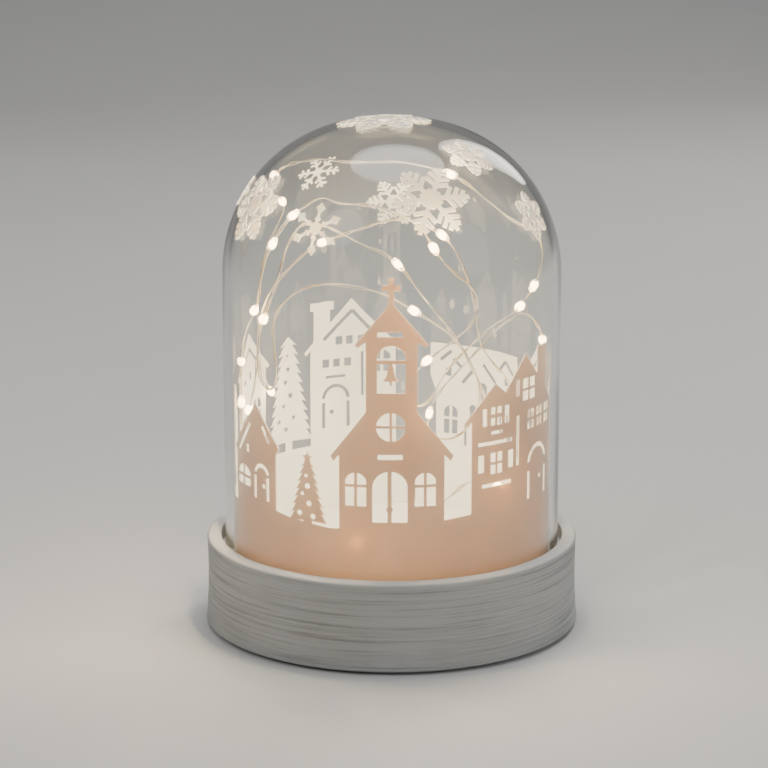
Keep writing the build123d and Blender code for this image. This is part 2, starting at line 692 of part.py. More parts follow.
with BuildPart() as battery_housing:
    # tub, then the flange round its foot
    box_between(housing_x, (-housing_half_y, housing_half_y), (flange_bottom, housing_top))
    with BuildSketch(Plane.XY.offset(flange_bottom)):
        with Locations((sum(flange_x) / 2, 0)):
            RectangleRounded(flange_x[1] - flange_x[0], 2 * flange_half_y, flange_corner)
    extrude(amount=wall)
    # battery bay, open below; the door fills the opening
    box_between(battery_bay_x, (-bay_half_y, bay_half_y), (flange_top, bay_top), mode=Mode.SUBTRACT)
    door_opening_x = (door_x[0] - door_play, door_x[1] + wall / 2 + door_play)
    door_opening_y = (-door_half_y - door_play, door_half_y + door_play)
    box_between(door_opening_x, door_opening_y, (flange_bottom - 1, flange_top), mode=Mode.SUBTRACT)
    # timer bay, open above, with a seat for its cover
    timer_bay_y = (-timer_bay_half_y, timer_bay_half_y)
    box_between(timer_bay_x, timer_bay_y, (flange_top, housing_top + 1), mode=Mode.SUBTRACT)
    cover_seat_x = (timer_bay_x[0] - cover_ledge, timer_bay_x[1] + cover_ledge)
    cover_seat_y = (-timer_bay_half_y - cover_ledge, timer_bay_half_y + cover_ledge)
    box_between(cover_seat_x, cover_seat_y, (bay_top, housing_top + 1), mode=Mode.SUBTRACT)
    # notches in the partition for the two leads
    for notch_y in (-5.9, cell_pitch):
        notch = (notch_y - 1, notch_y + 1)
        box_between((timer_bay_x[1] - 1, battery_bay_x[0] + 1), notch, (12.8, bay_top), mode=Mode.SUBTRACT)
    # slots in the end wall that the door's hooks turn in
    for hook_y in (-cell_pitch / 2, cell_pitch / 2):
        slot = (hook_y - hook_half_width - door_play, hook_y + hook_half_width + door_play)
        hinge_end = (battery_bay_x[1] - 1, housing_x[1] + 1)
        slot_z = (flange_top - 0.5, flange_top + hook_height + 0.4)
        box_between(hinge_end, slot, slot_z, mode=Mode.SUBTRACT)
    # sockets for the door's hinge pins
    pin_height = (flange_bottom + flange_top) / 2
    with BuildSketch(Plane.XZ.offset(-door_half_y - hinge_pin_reach - hinge_play)):
        with Locations((door_x[1], pin_height)):
            Circle(hinge_pin_radius + hinge_play)
    extrude(amount=2 * (door_half_y + hinge_pin_reach + hinge_play), mode=Mode.SUBTRACT)
    # finger notch beside the door's free edge
    with BuildSketch(Plane.XY.offset(flange_bottom)):
        with Locations((door_opening_x[0], 0)):
            Circle(finger_notch_radius)
            Rectangle(20, 20, align=(Align.MIN, Align.CENTER), mode=Mode.SUBTRACT)
    extrude(amount=finger_notch_depth, mode=Mode.SUBTRACT)
    # slot for the switch knob
    switch_x, switch_y = switch_place
    slot_half_x = knob_half_size[0] + knob_slot_play[0]
    slot_half_y = knob_half_size[1] + knob_slot_play[1] + switch_travel
    knob_slot_x = (switch_x - slot_half_x, switch_x + slot_half_x)
    knob_slot_y = (switch_y - slot_half_y, switch_y + slot_half_y)
    box_between(knob_slot_x, knob_slot_y, (flange_bottom - 1, flange_top + 1), mode=Mode.SUBTRACT)
    # posts under the timer board
    with BuildSketch(Plane.XY.offset(flange_top)):
        with Locations(*[(x, y) for x in board_post_x for y in board_post_y]):
            Circle(board_post_radius)
    extrude(amount=board_z[0] - flange_top)
    # countersunk screw holes
    with BuildSketch(Plane.XY.offset(flange_bottom - 1)):
        with Locations(*screw_places):
            Circle(screw_radius + 0.15)
    extrude(amount=wall + 2, mode=Mode.SUBTRACT)
    for x, y in screw_places:
        with BuildSketch(Plane.XY.offset(flange_bottom)):
            with Locations((x, y)):
                Circle(screw_head_radius + 0.2)
        with BuildSketch(Plane.XY.offset(flange_bottom + countersink_depth)):
            with Locations((x, y)):
                Circle(screw_head_radius - 1.0)
        loft(mode=Mode.SUBTRACT)
finish(battery_housing, "battery_housing")

with BuildPart() as housing_cover:
    box_between(
        (cover_seat_x[0] + cover_play, cover_seat_x[1] - cover_play),
        (cover_seat_y[0] + cover_play, cover_seat_y[1] - cover_play),
        (bay_top, housing_top),
    )
    with BuildSketch(Plane.XY.offset(bay_top - 1)):
        with Locations(wire_exit):
            Circle(cover_hole_radius)
    extrude(amount=wall + 2, mode=Mode.SUBTRACT)
finish(housing_cover, "housing_cover")

with BuildPart() as battery_door:
    door_y = (-door_half_y, door_half_y)
    box_between(door_x, door_y, (flange_bottom, flange_top))
    # rounded hinge edge with a pin at each end
    with BuildSketch(Plane.XZ.offset(-door_half_y)):
        with Locations((door_x[1], pin_height)):
            Circle(wall / 2)
    extrude(amount=2 * door_half_y)
    with BuildSketch(Plane.XZ.offset(-door_half_y - hinge_pin_reach)):
        with Locations((door_x[1], pin_height)):
            Circle(hinge_pin_radius)
    extrude(amount=2 * (door_half_y + hinge_pin_reach))
    # hooks that turn behind the end wall, and the latch tongue at the free edge
    for hook_y in (-cell_pitch / 2, cell_pitch / 2):
        hook = (hook_y - hook_half_width, hook_y + hook_half_width)
        hook_z = (flange_top - 0.5, flange_top + hook_height)
        box_between((door_x[1] - 0.5, door_x[1] + 0.5), hook, hook_z)
    box_between((door_x[0] + 0.1, door_x[0] + 1.2), (-latch_half_width, latch_half_width), hook_z)
    # grip ridges across the outside, cut in as grooves
    with BuildSketch(Plane.XY.offset(flange_bottom)):
        with Locations(*[(door_x[0] + 3 + grip_pitch * groove, 0) for groove in range(grip_grooves)]):
            Rectangle(grip_width, grip_length)
    extrude(amount=grip_depth, mode=Mode.SUBTRACT)
finish(battery_door, "battery_door")

with BuildPart() as housing_screws:
    for x, y in screw_places:
        with BuildSketch(Plane.XY.offset(flange_bottom)):
            with Locations((x, y)):
                Circle(screw_head_radius)
        with BuildSketch(Plane.XY.offset(flange_bottom + countersink_depth)):
            with Locations((x, y)):
                Circle(screw_radius)
        loft()
    with BuildSketch(Plane.XY.offset(flange_bottom + countersink_depth)):
        with Locations(*screw_places):
            Circle(screw_radius)
    extrude(amount=screw_length - countersink_depth)
    with BuildSketch(Plane.XY.offset(flange_bottom)):
        with Locations(*screw_places):
            Rectangle(cross_length, cross_width)
            Rectangle(cross_width, cross_length)
    extrude(amount=cross_depth, mode=Mode.SUBTRACT)
finish(housing_screws, "housing_screws")

# The end contacts stand against the ends of the battery bay, and each cell's nub touches one.
contact_x = {
    "timer": (battery_bay_x[0], battery_bay_x[0] + contact_thickness),
    "hinge": (battery_bay_x[1] - contact_thickness, battery_bay_x[1]),
}
contacts = [
    ("positive_contact", "timer", cell_pitch, cell_pitch),
    ("negative_contact", "hinge", -cell_pitch, -cell_pitch),
    ("bridge_contact_timer_end", "timer", -cell_pitch, 0),
    ("bridge_contact_hinge_end", "hinge", 0, cell_pitch),
]
for name, end, y0, y1 in contacts:
    with BuildPart() as contact:
        box_between(contact_x[end], (y0 - contact_half_width, y1 + contact_half_width), contact_z)
        fillet(contact.edges().filter_by(Axis.X), 1.0)
    finish(contact, name)

timer_face = contact_x["timer"][1]
hinge_face = contact_x["hinge"][0]
cells = [
    ("cell_front", -cell_pitch, timer_face, 1),
    ("cell_middle", 0, hinge_face, -1),
    ("cell_rear", cell_pitch, timer_face, 1),
]
for name, y, nub_tip, way in cells:
    with BuildPart() as cell:
        with BuildSketch(Plane(origin=(nub_tip, y, cell_height), x_dir=(0, 1, 0), z_dir=(way, 0, 0))):
            Circle(nub_radius)
        extrude(amount=nub_length)
        nub_foot = nub_tip + way * nub_length
        with BuildSketch(Plane(origin=(nub_foot, y, cell_height), x_dir=(0, 1, 0), z_dir=(way, 0, 0))):
            Circle(cell_radius)
        extrude(amount=cell_length - nub_length)
        fillet(cell.edges().filter_by(GeomType.CIRCLE).filter_by(lambda e: e.radius > 5), 0.5)
    finish(cell, name)


def bend_radii(route):
    """For each inner point of a route, the radius that uses 0.45 of the shorter run beside it."""
    places = [Vector(*place) for place in route]
    radii = []
    for before, corner, after in zip(places, places[1:], places[2:]):
        half_turn = radians((corner - before).get_angle(after - corner)) / 2
        shorter = min((corner - before).length, (after - corner).length)
        radii.append(0.45 * shorter / tan(half_turn))
    return radii


def spring_route(face, y, way):
    """Eight points a turn on a cone, from a contact's face to the flat end of its cell."""
    steps = round(spring_turns * 8)
    route = []
    for step in range(steps + 1):
        share = step / steps
        turn = 2 * pi * spring_turns * share
        radius = spring_base_radius + (spring_cell_radius - spring_base_radius) * share
        out = face + way * (spring_wire / 2 + spring_height * share)
        route.append((out, y + radius * cos(turn), cell_height + radius * sin(turn)))
    return route


# One conical spring for each cell's flat end, from its contact to the cell.
spring_room = battery_bay_x[1] - battery_bay_x[0] - 2 * contact_thickness - cell_length
spring_height = spring_room - spring_wire
with BuildPart() as battery_springs:
    for y, face, way in ((-cell_pitch, hinge_face, -1), (0, timer_face, 1), (cell_pitch, hinge_face, -1)):
        route = spring_route(face, y, way)
        with BuildLine() as coil:
            FilletPolyline(*route, radius=bend_radii(route))
        with BuildSketch(Plane(origin=coil.line @ 0, z_dir=coil.line % 0)):
            Circle(spring_wire / 2)
        sweep()
finish(battery_springs, "battery_springs")

# ---------------------------------------------------------------------------- timer board and switch

with BuildPart() as timer_board:
    box_between(board_x, (-board_half_y, board_half_y), board_z)
finish(timer_board, "timer_board")

with BuildPart() as timer_chip:
    box_between((-29.5, -24.5), (-3.0, 1.0), (board_z[1], board_z[1] + 1.5))
    chamfer(timer_chip.faces().sort_by(Axis.Z)[-1].edges(), 0.3)
finish(timer_chip, "timer_chip")

with BuildPart() as resistor:
    with BuildSketch(Plane.XZ.offset(-13)):
        with Locations((-30.5, board_z[1] + 0.9)):
            Circle(0.9)
    extrude(amount=5)
finish(resistor, "resistor")

with BuildPart() as switch_body:
    body_half_x, body_half_y = switch_body_half_size
    box_between(
        (switch_x - body_half_x, switch_x + body_half_x),
        (switch_y - body_half_y, switch_y + body_half_y),
        (switch_body_bottom, board_z[0]),
    )
    stem_half_x, stem_half_y = stem_half_size
    stem_room_x = stem_half_x + stem_play
    stem_room_y = stem_half_y + switch_travel + 1.5 * stem_play
    box_between(
        (switch_x - stem_room_x, switch_x + stem_room_x),
        (switch_y - stem_room_y, switch_y + stem_room_y),
        (switch_body_bottom - 1, stem_top + 0.3),
        mode=Mode.SUBTRACT,
    )
finish(switch_body, "switch_body")

with BuildPart() as switch_knob:
    half_x, half_y = knob_half_size
    box_between((switch_x - half_x, switch_x + half_x), (switch_y - half_y, switch_y + half_y), knob_z)
    fillet(switch_knob.faces().sort_by(Axis.Z)[0].edges(), 0.4)
    box_between(
        (switch_x - stem_half_x, switch_x + stem_half_x),
        (switch_y - stem_half_y, switch_y + stem_half_y),
        (knob_z[1] - 0.1, stem_top),
    )
finish(switch_knob, "switch_knob")

leads = {
    "positive_lead": [
        (timer_face + lead_radius + 0.05, cell_pitch, 12.0),
        (timer_face + lead_radius + 0.1, cell_pitch, 14.0),
        (-22.6, cell_pitch + 0.1, 13.9),
        (-24.0, cell_pitch, 11.5),
        (-24.05, cell_pitch, board_z[1] + 0.05),
    ],
    "negative_lead": [
        (hinge_face - lead_radius, -8.2, 12.4),
        (hinge_face - 3.2, -5.7, 14.0),
        (7.0, -5.4, 14.1),
        (-17.0, -5.8, 14.1),
        (-22.4, -6.0, 13.8),
        (-23.8, -6.2, 11.5),
        (-23.85, -6.2, board_z[1] + 0.05),
    ],
}
for name, route in leads.items():
    with BuildPart() as lead:
        with BuildLine() as lead_path:
            FilletPolyline(*route, radius=bend_radii(route))
        with BuildSketch(Plane(origin=lead_path.line @ 0, z_dir=lead_path.line % 0)):
            Circle(lead_radius)
        sweep()
    finish(lead, name)

# ---------------------------------------------------------------------------- light string

with BuildPart() as wire_grommet:
    with BuildSketch(Plane.XY.offset(rebate_floor - grommet_shank_length)):
        with Locations(wire_exit):
            Circle(grommet_shank_radius)
    extrude(amount=grommet_shank_length)
    with BuildSketch(Plane.XY.offset(rebate_floor)):
        with Locations(wire_exit):
            Circle(grommet_flange_radius)
    extrude(amount=grommet_flange_height)
    fillet(wire_grommet.faces().sort_by(Axis.Z)[-1].edges(), 0.4)
    with BuildSketch(Plane.XY.offset(rebate_floor - grommet_shank_length - 1)):
        with Locations(wire_exit):
            Circle(grommet_bore_radius)
    extrude(amount=grommet_shank_length + grommet_flange_height + 2, mode=Mode.SUBTRACT)
finish(wire_grommet, "wire_grommet")

# The wire's route, point by point, from the timer board up through the grommet and round the glass.
wire_route = [
    (-27, 6, 9), (-27.4, 6, 20), (-27, 6, 31), (-27.5, -4, 36.5), (-28, -17, 31.5),
    (-23.9, -30.9, 28.5), (-17.5, -42.3, 31), (-13.2, -48.8, 38), (-8.8, -50, 45), (2.9, -50.6, 46.5),
    (16.6, -48, 54.2), (24.9, -44.1, 60.8), (31.7, -39.6, 59), (35.9, -35.8, 54.5), (42.5, -27.7, 57),
    (47.8, -16.6, 65.5), (50.4, -5.9, 76), (50.5, -1.5, 87.5), (49.7, -9.3, 96), (48.6, -14.2, 102.5),
    (45.7, -21.9, 108.5), (42.4, -27.7, 112.6), (35.1, -33.1, 109.5), (29.5, -37, 104.5),
    (22.9, -41.1, 98), (16.1, -46, 92), (12.7, -48.2, 87.4), (10.9, -49.3, 80.8), (13.2, -48.8, 75.5),
    (19, -46.8, 74.5), (24.4, -44.3, 78), (28.3, -42, 86), (26.8, -42.9, 95), (22.1, -45.5, 104.5),
    (16, -48, 114), (10.1, -49.4, 121.4), (4.7, -49.7, 129), (-1, -48.1, 135), (-8.8, -46.3, 137.5),
    (-16.1, -42.8, 141), (-22.9, -38.4, 143.2), (-29.2, -33.6, 142), (-33.3, -33.4, 135),
    (-35.9, -34.9, 125), (-39.3, -31.8, 115), (-42.3, -28, 106.5), (-42.9, -27, 97), (-42.2, -28.1, 90),
    (-39.2, -31.4, 86.5), (-36.7, -34.1, 90.5), (-37.1, -34, 99), (-38.1, -33, 109),
    (-35.1, -36.1, 117.5), (-26.8, -42.4, 124), (-18, -46.6, 125.6), (-4.4, -49.8, 123.8),
    (3.4, -50, 119.8), (10.7, -49, 114.8), (17.1, -46, 110.5), (21.5, -43.9, 104), (26.3, -41.5, 95.5),
    (29.7, -39, 86), (33.2, -36.5, 79.5), (37.4, -33, 79.5), (39, -31.4, 85.5), (36.6, -33.7, 92),
    (31.2, -37.8, 98.5), (27.6, -40.6, 105), (26.8, -41.2, 114.5), (24.4, -42.5, 125),
    (19.5, -42.2, 136.8), (12.2, -43.3, 143.2), (2.2, -42.7, 145.6), (-4.9, -43.2, 144),
    (-12.2, -42, 141.5), (-18.5, -40.9, 138.8), (-24.8, -38.9, 136), (-30.2, -35.6, 130.5),
    (-35.6, -32.8, 124.5), (-39.7, -28.3, 118), (-42.3, -24.2, 109), (-43.3, -22.6, 99),
    (-43.9, -22.2, 89), (-45.7, -19.9, 80.5), (-47.5, -17.2, 73.5), (-49.6, -10.2, 69.5),
    (-50.4, -5.4, 73.5), (-50.5, -3.9, 80), (-50.2, -7.3, 88), (-49.2, -12.3, 95),
    (-47.8, -16.6, 102.5), (-45.2, -23, 109), (-42.5, -27.1, 116), (-41.6, -27.7, 124.5),
    (-39.6, -28.1, 131.5), (-36, -28.6, 138), (-33.4, -29, 142.2), (-28.8, -30.7, 146.3),
    (-22.3, -32.9, 151), (-16.8, -36.3, 148.8), (-8.8, -39.2, 149.5), (0.5, -40.7, 147.3),
    (8.8, -41.1, 143), (11.5, -42.9, 138.5), (14.8, -44.4, 133.5), (19.5, -45.3, 128.5),
    (24.8, -43.9, 124.5), (27.3, -42.5, 119), (25.6, -43.1, 112), (20.5, -42.5, 107),
    (13.6, -45.4, 102.4), (8.1, -46.8, 98.3), (5.1, -47.2, 92.6), (5.1, -46.8, 87.8),
    (8.4, -45.8, 84.8), (12.7, -44.2, 87.5), (15.3, -42.4, 93.5), (21.4, -39.1, 100.5),
    (28.7, -35.8, 106.6), (33.5, -31.1, 109.5), (38.3, -27.9, 111.4), (43.4, -22.2, 115.6),
    (47.6, -16.9, 122.6), (49.1, -11.7, 127), (48.4, -10.5, 132), (45.6, -14.1, 136),
    (42.3, -19.7, 138.6), (37.9, -23.9, 141.5), (32.4, -26.9, 146.5), (27.3, -28, 151),
    (21.5, -27.6, 155.4), (15, -27.6, 158.2), (3, -26.8, 160.8), (-7, -26.6, 160.4), (-15, -24.4, 160),
    (-22, -18.5, 160.2), (-30, -10.5, 158), (-36.5, -1.5, 154.6), (-41.3, 5.4, 149),
    (-41.4, 15.6, 143.5), (-38.7, 24.9, 141.5), (-37, 31.2, 136.4), (-40.5, 29.8, 129),
    (-43.9, 24.9, 121.5), (-45.5, 22.4, 111), (-46.2, 21, 100), (-46.3, 20.7, 89), (-44.9, 23, 79.5),
    (-42, 28.1, 72),
]

# The runs of the route whose middle carries a lamp, counted from 0; the last lamp ends the wire.
drop_runs = [7, 12, 18, 26, 36, 44, 56, 70, 75, 83, 86, 88, 91, 94, 96, 103, 110, 120, 121, 130, 137, 140]

wire_radii = bend_radii(wire_route)
print("light wire bend radii:", " ".join(f"{radius:.1f}" for radius in wire_radii))
with BuildPart() as light_wire:
    with BuildLine() as wire_path:
        FilletPolyline(*wire_route, radius=wire_radii)
    with BuildSketch(Plane(origin=wire_path.line @ 0, z_dir=wire_path.line % 0)):
        Circle(wire_diameter / 2)
    sweep()
wire_length = wire_path.wires()[0].length
wire_volume = wire_length * pi * (wire_diameter / 2) ** 2
print(f"light wire {wire_length:.0f} mm long, volume {light_wire.part.volume:.1f} of {wire_volume:.1f} mm3")
finish(light_wire, "light_wire")

with BuildPart() as one_drop:
    with BuildSketch(Plane.XZ):
        Ellipse(drop_radius, drop_half_length)
        with Locations((-drop_radius, 0)):
            Rectangle(2 * drop_radius, 3 * drop_half_length, mode=Mode.SUBTRACT)
    revolve(axis=Axis.Z)

with BuildPart() as led_drops:
    places = [Vector(*place) for place in wire_route]
    drops = [((places[run] + places[run + 1]) / 2, places[run + 1] - places[run]) for run in drop_runs]
    drops.append((places[-1], places[-1] - places[-2]))
    for centre, along in drops:
        with Locations(Plane(origin=centre, z_dir=along)):
            add(one_drop.part)
drops_volume = len(drops) * one_drop.part.volume
print(f"{len(drops)} lamps, volume {led_drops.part.volume:.1f} of {drops_volume:.1f} mm3")
finish(led_drops, "led_drops")

print(len(made), "pieces")
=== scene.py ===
import json
from math import atan2, cos, pi, radians, sin, tau
from random import Random

import bmesh
import bpy
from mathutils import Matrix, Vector, noise


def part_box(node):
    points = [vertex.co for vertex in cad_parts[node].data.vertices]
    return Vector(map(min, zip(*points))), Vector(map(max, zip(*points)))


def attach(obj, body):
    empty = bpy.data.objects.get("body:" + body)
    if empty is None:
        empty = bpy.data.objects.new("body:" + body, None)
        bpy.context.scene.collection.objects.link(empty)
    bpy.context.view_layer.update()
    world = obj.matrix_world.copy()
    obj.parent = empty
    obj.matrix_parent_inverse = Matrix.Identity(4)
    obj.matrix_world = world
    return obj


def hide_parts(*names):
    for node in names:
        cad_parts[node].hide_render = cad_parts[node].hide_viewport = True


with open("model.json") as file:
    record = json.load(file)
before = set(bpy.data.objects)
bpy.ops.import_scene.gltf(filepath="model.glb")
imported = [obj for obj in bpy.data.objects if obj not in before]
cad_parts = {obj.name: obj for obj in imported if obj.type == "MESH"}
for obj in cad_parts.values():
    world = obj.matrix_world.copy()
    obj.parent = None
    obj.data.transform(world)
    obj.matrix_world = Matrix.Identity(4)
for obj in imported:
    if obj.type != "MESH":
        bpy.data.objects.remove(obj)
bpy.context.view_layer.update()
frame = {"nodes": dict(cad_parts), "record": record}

# ------------------------------------------------------------------ measures taken from the frame
glass_low, glass_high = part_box("glass_dome")
base_low, base_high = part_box("base_body")
glass_radius = glass_high[0]
rebate_floor = glass_low[2]
base_top = base_high[2]
base_bottom = base_low[2]

# Measures that the boxes don't give, as in the CAD model
glass_wall = 0.0023
shoulder_height = 0.1203
shoulder_radius = 0.0505
base_top_radius = 0.0625
base_bottom_radius = 0.0630
base_waist_radius = 0.0622
rebate_radius = 0.0576
pocket_roof = 0.0170
wire_exit = (-0.027, 0.006)


# ------------------------------------------------------------------ small helpers
def add_object(name, mesh_or_curve):
    obj = bpy.data.objects.new(name, mesh_or_curve)
    bpy.context.scene.collection.objects.link(obj)
    return obj


def wear(obj, *materials):
    """Gives an object these materials, in the order of its slots."""
    obj.data.materials.clear()
    for material in materials:
        obj.data.materials.append(material)


class Shader:
    """A node material that is built line by line around one Principled shader."""

    def __init__(self, name):
        self.material = bpy.data.materials.new(name)
        self.material.use_nodes = True
        self.tree = self.material.node_tree
        self.main = self.tree.nodes["Principled BSDF"]
        self.output = self.tree.nodes["Material Output"]

    def node(self, kind, **values):
        """A node; a value whose name starts with in_ goes on that socket, others are settings."""
        made = self.tree.nodes.new("ShaderNode" + kind)
        for key, value in values.items():
            if key.startswith("in_"):
                made.inputs[key[3:].replace("_", " ")].default_value = value
            else:
                setattr(made, key, value)
        return made

    def link(self, source, target):
        self.tree.links.new(source, target)
        return source

    def set(self, **values):
        for key, value in values.items():
            self.main.inputs[key.replace("_", " ")].default_value = value
        return self

    def place(self, scale=(1, 1, 1)):
        """Object coordinates, stretched."""
        coordinates = self.node("TexCoord")
        mapping = self.node("Mapping")
        mapping.inputs["Scale"].default_value = scale
        self.link(coordinates.outputs["Object"], mapping.inputs["Vector"])
        return mapping.outputs["Vector"]

    def noise(self, scale, detail=4.0, stretch=(1, 1, 1), rough=0.55):
        texture = self.node("TexNoise")
        texture.inputs["Scale"].default_value = scale
        texture.inputs["Detail"].default_value = detail
        texture.inputs["Roughness"].default_value = rough
        self.link(self.place(stretch), texture.inputs["Vector"])
        return texture.outputs["Fac"]

    def ramp(self, factor, *stops):
        ramp = self.node("ValToRGB")
        elements = ramp.color_ramp.elements
        while len(elements) < len(stops):
            elements.new(0.5)
        for element, (place, colour) in zip(elements, stops):
            element.position = place
            element.color = (*colour, 1) if len(colour) == 3 else colour
        self.link(factor, ramp.inputs["Fac"])
        return ramp.outputs["Color"]

    def range(self, factor, low, high):
        scaled = self.node("MapRange")
        scaled.inputs["To Min"].default_value = low
        scaled.inputs["To Max"].default_value = high
        self.link(factor, scaled.inputs["Value"])
        return scaled.outputs["Result"]

    def mix(self, factor, first, second):
        blend = self.node("Mix", data_type="RGBA")
        for value, socket in ((factor, blend.inputs[0]), (first, blend.inputs[6]), (second, blend.inputs[7])):
            if isinstance(value, bpy.types.NodeSocket):
                self.link(value, socket)
            else:
                socket.default_value = (*value, 1) if isinstance(value, tuple) else value
        return blend.outputs[2]

    def add(self, first, second, share=1.0):
        total = self.node("Math", operation="MULTIPLY_ADD")
        self.link(second, total.inputs[0])
        total.inputs[1].default_value = share
        self.link(first, total.inputs[2])
        return total.outputs[0]

    def colour(self, socket):
        self.link(socket, self.main.inputs["Base Color"])
        return self

    def roughness(self, socket):
        self.link(socket, self.main.inputs["Roughness"])
        return self

    def bump(self, height, distance, strength=1.0):
        bump = self.node("Bump")
        bump.inputs["Strength"].default_value = strength
        bump.inputs["Distance"].default_value = distance
        self.link(height, bump.inputs["Height"])
        self.link(bump.outputs["Normal"], self.main.inputs["Normal"])
        return self


# ------------------------------------------------------------------ materials
def let_lamps_through(s, tint):
    """Shadow rays pass this clear material as if it were thin, so that lamps light what it encloses."""
    path = s.node("LightPath")
    through = s.node("BsdfTransparent")
    through.inputs["Color"].default_value = (*tint, 1)
    both = s.node("MixShader")
    s.link(path.outputs["Is Shadow Ray"], both.inputs[0])
    s.link(s.main.outputs["BSDF"], both.inputs[1])
    s.link(through.outputs["BSDF"], both.inputs[2])
    s.link(both.outputs["Shader"], s.output.inputs["Surface"])


def glow_through(s, share, reach):
    """Light that falls on one side of this thin material scatters inside it and comes out on the other."""
    s.set(Subsurface_Weight=share, Subsurface_Radius=(1.0, 0.85, 0.72), Subsurface_Scale=reach)


def painted_wood_material():
    """Chalky paint over turned wood: long grey streaks round the side, partly painted shade in the grooves; the
    side is painted darker as shade and the faces that look up paler as painted top light.
    """
    s = Shader("painted_wood")
    cloud = s.noise(28, 5)
    streak = s.noise(24, 7, stretch=(1, 1, 44))
    fine = s.noise(900, 3)
    # Painted shade: the side colours are darker grey than the paint itself, for light that falls from above.
    shaded_side_cloud = s.ramp(cloud, (0.3, (0.43, 0.43, 0.40)), (0.55, (0.50, 0.51, 0.50)), (0.75, (0.56, 0.57, 0.57)))
    # Streaks in the paint, whose darkest lines are painted shade in the grooves.
    streaks_and_groove_shade = s.ramp(streak, (0.34, (0.22, 0.22, 0.20)), (0.47, (0.51, 0.52, 0.51)), (0.68, (0.60, 0.61, 0.60)))
    side = s.mix(0.5, shaded_side_cloud, streaks_and_groove_shade)
    painted_top_light_tone = s.ramp(cloud, (0.3, (0.76, 0.75, 0.71)), (0.7, (0.86, 0.85, 0.82)))
    # Mask of the faces that look up, which get the paler painted top light.
    parts = s.node("SeparateXYZ")
    s.link(s.node("NewGeometry").outputs["Normal"], parts.inputs[0])
    painted_top_light_mask = s.ramp(parts.outputs["Z"], (0.6, (0, 0, 0)), (0.92, (1, 1, 1)))
    s.colour(s.mix(painted_top_light_mask, side, painted_top_light_tone))
    s.roughness(s.range(streak, 0.5, 0.75))
    s.set(Specular_IOR_Level=0.35)
    s.bump(s.add(s.add(streak, cloud, 0.4), fine, 0.25), 0.0007, 0.7)
    return s.material


def clear_glass_material():
    """Clear blown glass with a slight yellow-grey tint, which lets lamps shine through."""
    s = Shader("clear_glass")
    s.set(Base_Color=(0.975, 0.965, 0.925, 1), Roughness=0.0, IOR=1.46, Transmission_Weight=1.0)
    drawn = s.noise(22, 2, stretch=(1, 1, 0.35))
    s.bump(drawn, 0.0006, 0.12)
    let_lamps_through(s, (0.93, 0.925, 0.90))
    return s.material


def sheet_material():
    """Translucent sheet with a faint fibre: warm white inside, and its outer side painted a darker rosy taupe
    as painted shade of the same white sheet.
    """
    s = Shader("white_sheet")
    fibre = s.noise(420, 6, stretch=(1, 1, 0.4))
    cloud = s.noise(60, 3)
    inside = s.ramp(cloud, (0.3, (0.86, 0.82, 0.75)), (0.7, (0.92, 0.89, 0.83)))
    # Painted shade: the outer face gets a darker taupe copy of the white, for the side that the lamps inside
    # leave unlit.
    shaded_outside_tone = s.ramp(cloud, (0.3, (0.56, 0.485, 0.405)), (0.7, (0.605, 0.53, 0.45)))
    flat = s.node("VectorMath", operation="MULTIPLY")
    flat.inputs[1].default_value = (1, 1, 0)
    s.link(s.place(), flat.inputs[0])
    # Mask of the outward faces, which get the painted shade colour.
    outward = s.node("VectorMath", operation="DOT_PRODUCT")
    s.link(flat.outputs["Vector"], outward.inputs[0])
    s.link(s.node("NewGeometry").outputs["Normal"], outward.inputs[1])
    shaded_outer_face = s.node("Math", operation="GREATER_THAN")
    shaded_outer_face.inputs[1].default_value = 0.0
    s.link(outward.outputs["Value"], shaded_outer_face.inputs[0])
    s.colour(s.mix(shaded_outer_face.outputs["Value"], inside, shaded_outside_tone))
    s.roughness(s.range(fibre, 0.5, 0.7))
    s.bump(fibre, 0.0001, 0.4)
    glow_through(s, 0.9, 0.0010)
    return s.material


def cut_edge_material():
    """The laser-cut edge of the sheet, toasted amber."""
    s = Shader("sheet_cut_edge")
    s.colour(s.ramp(s.noise(500, 3), (0.35, (0.42, 0.24, 0.08)), (0.7, (0.62, 0.42, 0.18))))
    s.set(Roughness=0.5)
    return s.material


def sticker_material():
    """Pale cream raised stickers with a soft grain."""
    s = Shader("white_sticker")
    grain = s.noise(800, 4)
    s.colour(s.ramp(s.noise(70, 3), (0.3, (0.86, 0.85, 0.77)), (0.7, (0.93, 0.92, 0.86))))
    s.roughness(s.range(grain, 0.45, 0.65))
    s.bump(grain, 0.00008, 0.6)
    glow_through(s, 0.7, 0.0005)
    return s.material


def wire_material():
    """Bare drawn wire, silver with a champagne lacquer that varies along it."""
    s = Shader("silver_wire")
    s.colour(s.ramp(s.noise(60, 3), (0.35, (0.90, 0.78, 0.56)), (0.65, (0.96, 0.93, 0.86))))
    s.set(Metallic=1.0)
    s.roughness(s.range(s.noise(700, 2), 0.26, 0.42))
    return s.material


def lamp_material(name, colour, strength):
    """The lit core of a lamp, unevenly bright."""
    s = Shader(name)
    s.set(Base_Color=(0.9, 0.82, 0.66, 1), Roughness=0.25)
    s.link(s.ramp(s.noise(900, 2), (0.3, (1.0, 0.62, 0.3)), (0.7, colour)), s.main.inputs["Emission Color"])
    s.set(Emission_Strength=strength)
    return s.material


def epoxy_material():
    """The clear, faintly amber epoxy of a lamp drop."""
    s = Shader("epoxy_drop")
    s.set(Base_Color=(1.0, 0.93, 0.78, 1), IOR=1.5, Transmission_Weight=1.0)
    s.roughness(s.range(s.noise(500, 2), 0.02, 0.16))
    let_lamps_through(s, (1.0, 0.95, 0.85))
    return s.material


